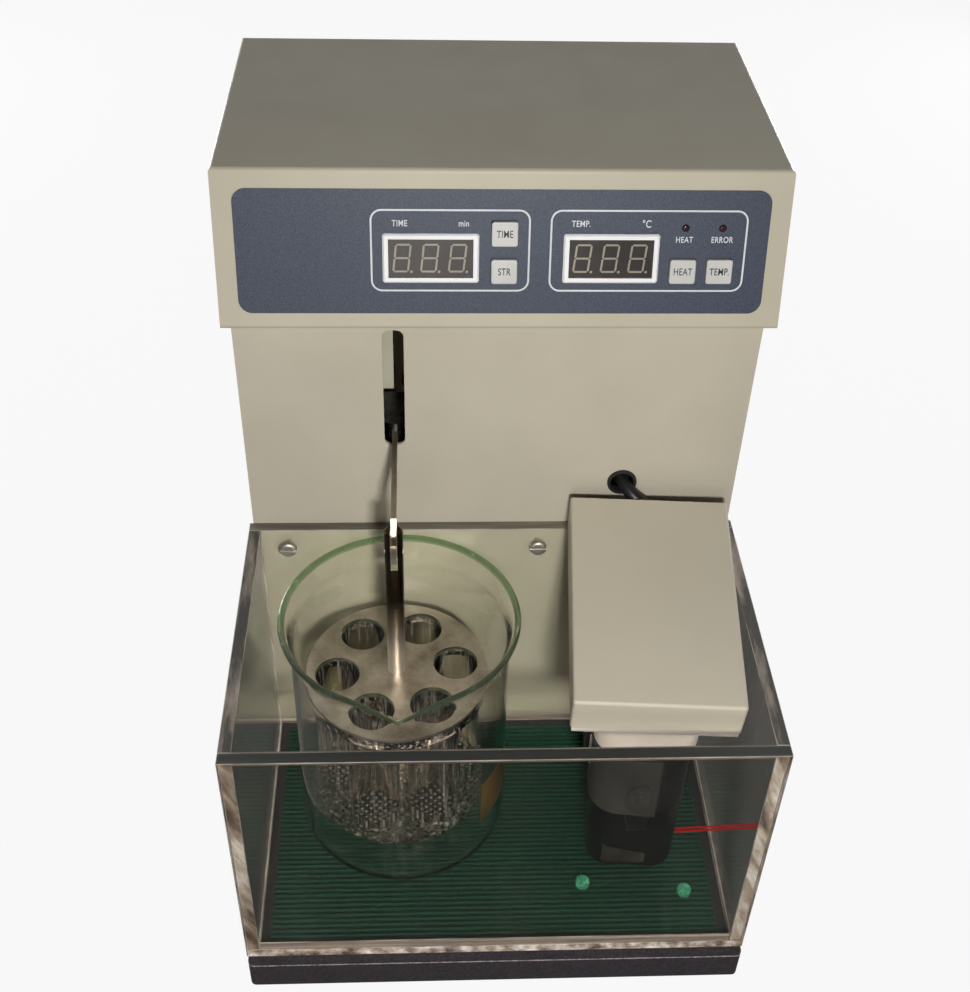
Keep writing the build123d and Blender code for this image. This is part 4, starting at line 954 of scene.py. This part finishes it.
def make_tank():
    """The tank's bonded sheets with sawn edges that show through them."""
    gap = tank_joint_gap
    half = tank_half
    back = column_front
    inner = half - tank_wall
    inner_front = tank_front + tank_wall
    inner_back = back - tank_wall
    sheets = {
        "tank_front": [((-half, tank_front, tank_bottom), (half, inner_front, tank_top))],
        "tank_back": [((-half, inner_back, tank_bottom), (half, back - gap, tank_top))],
        "tank_sides": [((-half, inner_front + gap, tank_bottom), (-inner, inner_back - gap, tank_top)),
                       ((inner, inner_front + gap, tank_bottom), (half, inner_back - gap, tank_top))],
        "tank_floor": [((-inner + gap, inner_front + gap, tank_bottom + gap),
                        (inner - gap, inner_back - gap, tank_floor_top))],
    }
    tops = {"tank_front": "front_edge", "tank_back": "edge_across", "tank_sides": "edge_along",
            "tank_floor": "floor_edge"}
    for node_name, boxes in sheets.items():
        bm = bmesh.new()
        for low, high in boxes:
            make_sheet(bm, low, high)
        piece = add_piece(node_name + "_sheet", bm, "tank_acrylic", "frame", sheet_angle)
        sawn = "floor_edge" if node_name == "tank_floor" else "side_edge"
        for finish in (sawn, tops[node_name], "edge_gleam"):
            piece.data.materials.append(finishes[finish])
        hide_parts(node_name)

    bm = bmesh.new()
    make_sheet(bm, (-inner + gap, inner_front + gap, tank_top - rim_strip_height),
               (inner - gap, inner_front + gap + rim_strip_thickness, tank_top - gap))
    for face in bm.faces:
        face.material_index = 0
    add_piece("tank_rim_strip", bm, "rim_strip", "frame", sheet_angle)


# Pump

def pump_matrix():
    """From the pump's own axes to the row frame."""
    return Matrix.Translation((pump_centre[0], pump_centre[1], 0)) @ Matrix.Rotation(-pump_turn, 4, "Z")


def wrap_path(half_width, half_depth, corner, start_x):
    """Points along the front of a rounded outline, from a place on it round to the left side."""
    path = [(start_x, -half_depth), ((start_x - half_width + corner) / 2, -half_depth)]
    return path + arc((corner - half_width, corner - half_depth), corner, -90, -180, wrap_steps)


def make_band(bm, path, low, high, thickness):
    """An upright band along a path, thickened outwards."""
    verts = [bm.verts.new((path[0][0], path[0][1], z)) for z in (low, high)]
    rim = [bm.edges.new(verts)]
    for before, after in zip(path, path[1:]):
        rim = extrude_rim(bm, rim, (after[0] - before[0], after[1] - before[1], 0))[1]
    bmesh.ops.recalc_face_normals(bm, faces=bm.faces)
    outwards = sum((face.normal.dot(face.calc_center_median()) for face in bm.faces))
    bmesh.ops.solidify(bm, geom=bm.faces[:], thickness=-thickness if outwards > 0 else thickness)
    bmesh.ops.recalc_face_normals(bm, faces=bm.faces)


def cut_aslant(bm, height, slope):
    """Cut a band off along a leaning plane, keep the side that the slope points from, and close it."""
    bmesh.ops.bisect_plane(bm, geom=bm.verts[:] + bm.edges[:] + bm.faces[:],
                           plane_co=(slant_across, 0, height), plane_no=slope, clear_outer=True)
    bmesh.ops.holes_fill(bm, edges=[edge for edge in bm.edges if edge.is_boundary], sides=0)
    bmesh.ops.recalc_face_normals(bm, faces=bm.faces)


def add_pump_piece(name, bm, finish):
    """Turn a mesh from the pump's own axes and hang it on the frame."""
    bmesh.ops.transform(bm, matrix=pump_matrix(), verts=bm.verts)
    add_piece(name, bm, finish, "frame")


def make_pump_front():
    """Grey cover plate round the front of the pump, its lower edge cut aslant."""
    bm = bmesh.new()
    half_width = pump_half_width + plate_gap
    path = wrap_path(half_width, pump_half_depth + plate_gap, pump_corner, plate_start)
    path.append((-half_width, plate_end))
    make_band(bm, path, pump_body_bottom - plate_below, pump_body_top - plate_top_gap, plate_thickness)
    cut_aslant(bm, pump_body_bottom - plate_cut, -Vector((plate_slant, 0, 1)).normalized())
    add_pump_piece("pump_front_plate", bm, "pump_grey")


def make_press_pad():
    """Oval press pad with raised dots."""
    bm = bmesh.new()
    pad = bmesh.ops.create_circle(bm, segments=pad_sides, radius=1.0, cap_ends=True)["verts"]
    bmesh.ops.scale(bm, vec=(*pad_size, 1), verts=pad)
    raised = bmesh.ops.extrude_face_region(bm, geom=bm.faces[:])["geom"]
    upper = [item for item in raised if isinstance(item, bmesh.types.BMVert)]
    bmesh.ops.translate(bm, verts=upper, vec=(0, 0, pad_thickness))
    rim = [edge for edge in bm.edges if all(vert.co.z > pad_thickness / 2 for vert in edge.verts)]
    bevel(bm, rim, pad_edge, 2)
    for row in range(dot_rows):
        for column in dot_columns:
            dot = bmesh.ops.create_icosphere(bm, subdivisions=2, radius=dot_radius)["verts"]
            bmesh.ops.scale(bm, vec=(1, 1, dot_flatness), verts=dot)
            place = (column * dot_pitch[0], dot_top - row * dot_pitch[1], pad_thickness)
            bmesh.ops.translate(bm, verts=dot, vec=place)
    bmesh.ops.recalc_face_normals(bm, faces=bm.faces)
    place = (pad_across, -pump_half_depth - pad_front_gap, pump_body_bottom + pad_rise)
    upright = Matrix.Translation(place) @ Matrix.Rotation(math.pi / 2, 4, "X")
    bmesh.ops.transform(bm, matrix=upright, verts=bm.verts)
    add_pump_piece("pump_press_pad", bm, "pump_grey")


def make_pump_tongue():
    """Tapered tongue below the press pad."""
    bm = rounded_block(tongue_size, tongue_edge, tongue_narrowing)
    place = (tongue_across, -cup_half_depth - tongue_size[1] / 2, pump_body_bottom - tongue_drop)
    bmesh.ops.translate(bm, verts=bm.verts, vec=place)
    add_pump_piece("pump_tongue", bm, "pump_black")


def make_pump_clip():
    """Bright spring clip on the left of the pump."""
    bm = rounded_block(clip_size, clip_edge)
    place = (-pump_half_width - clip_gap, clip_along, pump_body_top - clip_drop)
    bmesh.ops.translate(bm, verts=bm.verts, vec=place)
    add_pump_piece("pump_spring_clip", bm, "clip_steel")


def make_cup_window():
    """Cloudy inspection window low on the front of the cup, its top cut aslant."""
    bm = bmesh.new()
    path = wrap_path(cup_half_width + cup_window_gap, cup_half_depth + cup_window_gap, cup_corner,
                     cup_window_start)
    make_band(bm, path[:wrap_steps // 2 + 1], *cup_window, cup_window_thickness)
    cut_aslant(bm, cup_window[1] - cup_window_cut, Vector((cup_window_slant, 0, 1)).normalized())
    add_pump_piece("pump_cup_window", bm, "cup_window")


# Cable

def make_cable():
    """Cable from the column to the hood, one smooth line through the grommet."""
    curve = bpy.data.curves.new("cable_line", "CURVE")
    curve.dimensions = "3D"
    spline = curve.splines.new("NURBS")
    spline.points.add(len(cable_route) - 1)
    for point, place in zip(spline.points, cable_route):
        point.co = (place[0] * MM, place[1] * MM, place[2] * MM, 1.0)
    spline.order_u = 3
    spline.use_endpoint_u = True
    spline.resolution_u = 12
    curve.bevel_depth = cable_radius * MM
    curve.bevel_resolution = 6
    curve.use_fill_caps = True
    cable = bpy.data.objects.new("pump_lead", curve)
    scene.collection.objects.link(cable)
    curve.materials.append(finishes["cable_jacket"])
    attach(cable, "frame")
    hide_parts("pump_cable")


# Camera, lights, floor

def make_camera():
    """Camera at the photograph's place and angle."""
    sin_yaw = math.sin(camera_yaw)
    cos_yaw = math.cos(camera_yaw)
    level = math.cos(camera_pitch)
    forward = Vector((-sin_yaw * level, cos_yaw * level, -math.sin(camera_pitch)))
    right = Vector((cos_yaw, sin_yaw, 0))
    up = right.cross(forward)
    turned_right = math.cos(camera_roll) * right + math.sin(camera_roll) * up
    turned_up = -math.sin(camera_roll) * right + math.cos(camera_roll) * up
    data = bpy.data.cameras.new("camera")
    data.sensor_width = sensor_size
    data.lens = focal_pixels * sensor_size / max(picture_width, picture_height)
    data.clip_start = 0.01
    camera = bpy.data.objects.new("camera", data)
    axes = Matrix((turned_right, turned_up, -forward)).transposed().to_4x4()
    camera.matrix_world = Matrix.Translation(Vector(camera_place) * MM) @ axes
    scene.collection.objects.link(camera)
    scene.camera = camera


def seen_as_background(tree, spot):
    """1 for rays from the camera, and the backdrop's share for gloss and through glass.

    The room on the camera's side was dark, so there the share falls off."""
    path = add_node(tree, "ShaderNodeLightPath")
    parts = add_node(tree, "ShaderNodeSeparateXYZ")
    link(tree, spot, parts.inputs["Vector"])
    seen = path.outputs["Is Camera Ray"]
    for ray, least in (("Is Glossy Ray", glossy_least), ("Is Transmission Ray", through_least)):
        behind = spread(tree, parts.outputs["Y"], least, 1.0, *backdrop_edge)
        seen = combine(tree, "MAXIMUM", seen, combine(tree, "MULTIPLY", path.outputs[ray], behind))
    return seen


def make_surroundings():
    """White surroundings with a dimmer light of their own, and a pale floor."""
    world = bpy.data.worlds.new("studio")
    scene.world = world
    world.use_nodes = True
    tree = world.node_tree
    light = tree.nodes["Background"]
    light.inputs["Color"].default_value = world_colour
    light.inputs["Strength"].default_value = world_light
    white = add_node(tree, "ShaderNodeBackground", Color=(1, 1, 1, 1), Strength=1.0)
    direction = add_node(tree, "ShaderNodeTexCoord").outputs["Generated"]
    blend(tree, seen_as_background(tree, direction), light.outputs["Background"],
          white.outputs["Background"], "World Output")

    finish, tree, shader = new_finish("pale_floor", Base_Color=floor_colour, Roughness=0.9)
    glow = add_node(tree, "ShaderNodeEmission", Color=(1, 1, 1, 1), Strength=1.0)
    share = add_node(tree, "ShaderNodeMath", operation="MULTIPLY")
    share.inputs[1].default_value = floor_white_share
    link(tree, seen_as_background(tree, object_place(tree)), share.inputs[0])
    blend(tree, share.outputs[0], shader.outputs["BSDF"], glow.outputs["Emission"], "Material Output")
    bm = bmesh.new()
    bmesh.ops.create_grid(bm, x_segments=1, y_segments=1, size=floor_half)
    mesh = bpy.data.meshes.new("floor")
    bm.to_mesh(mesh)
    bm.free()
    mesh.materials.append(finish)
    floor = bpy.data.objects.new("floor", mesh)
    scene.collection.objects.link(floor)


def add_lamp(name, place, aim, size, power, colour):
    """A soft square lamp that points at a place, all in metres."""
    data = bpy.data.lights.new(name, "AREA")
    data.shape = "SQUARE"
    data.size = size
    data.energy = power
    data.color = colour
    lamp = bpy.data.objects.new(name, data)
    lamp.location = place
    lamp.rotation_euler = (Vector(aim) - Vector(place)).to_track_quat("-Z", "Y").to_euler()
    scene.collection.objects.link(lamp)


# Light of the room, in metres and watts. Gloss and glass show the backdrop by how far back it is,
# from the first value on and fully from the second, and by the least share in front of that
world_light = 0.035
world_colour = (1.0, 0.93, 0.82, 1.0)
backdrop_edge = (0.12, 0.45)
glossy_least = 0.03
through_least = 0.03
floor_white_share = 0.93
floor_colour = (0.22, 0.22, 0.22, 1.0)
floor_half = 4.0
daylight = (1.0, 0.99, 0.97)
most_bounces = 24
make_camera()
make_surroundings()
add_lamp("flash_lamp", (0.02, -0.59, 0.53), (0.0, 0.0, 0.2), 0.05, 2.9, daylight)
add_lamp("fill_lamp", (-0.15, -1.3, 0.35), (0.0, 0.0, 0.2), 0.5, 1.8, (1.0, 0.97, 0.92))
for name, across in (("rear_left_lamp", -0.85), ("rear_right_lamp", 0.85)):
    add_lamp(name, (across, 1.0, 0.3), (0.0, 0.1, 0.2), 0.4, 9.0, daylight)
for limit in ("max_bounces", "transmission_bounces", "transparent_max_bounces"):
    setattr(scene.cycles, limit, most_bounces)

make_beaker()
make_note_field()
make_tubes()
make_screen()
make_panel_print()
make_key_words()
make_digits()
make_tank()
make_pump_front()
make_press_pad()
make_pump_tongue()
make_pump_clip()
make_cup_window()
make_cable()
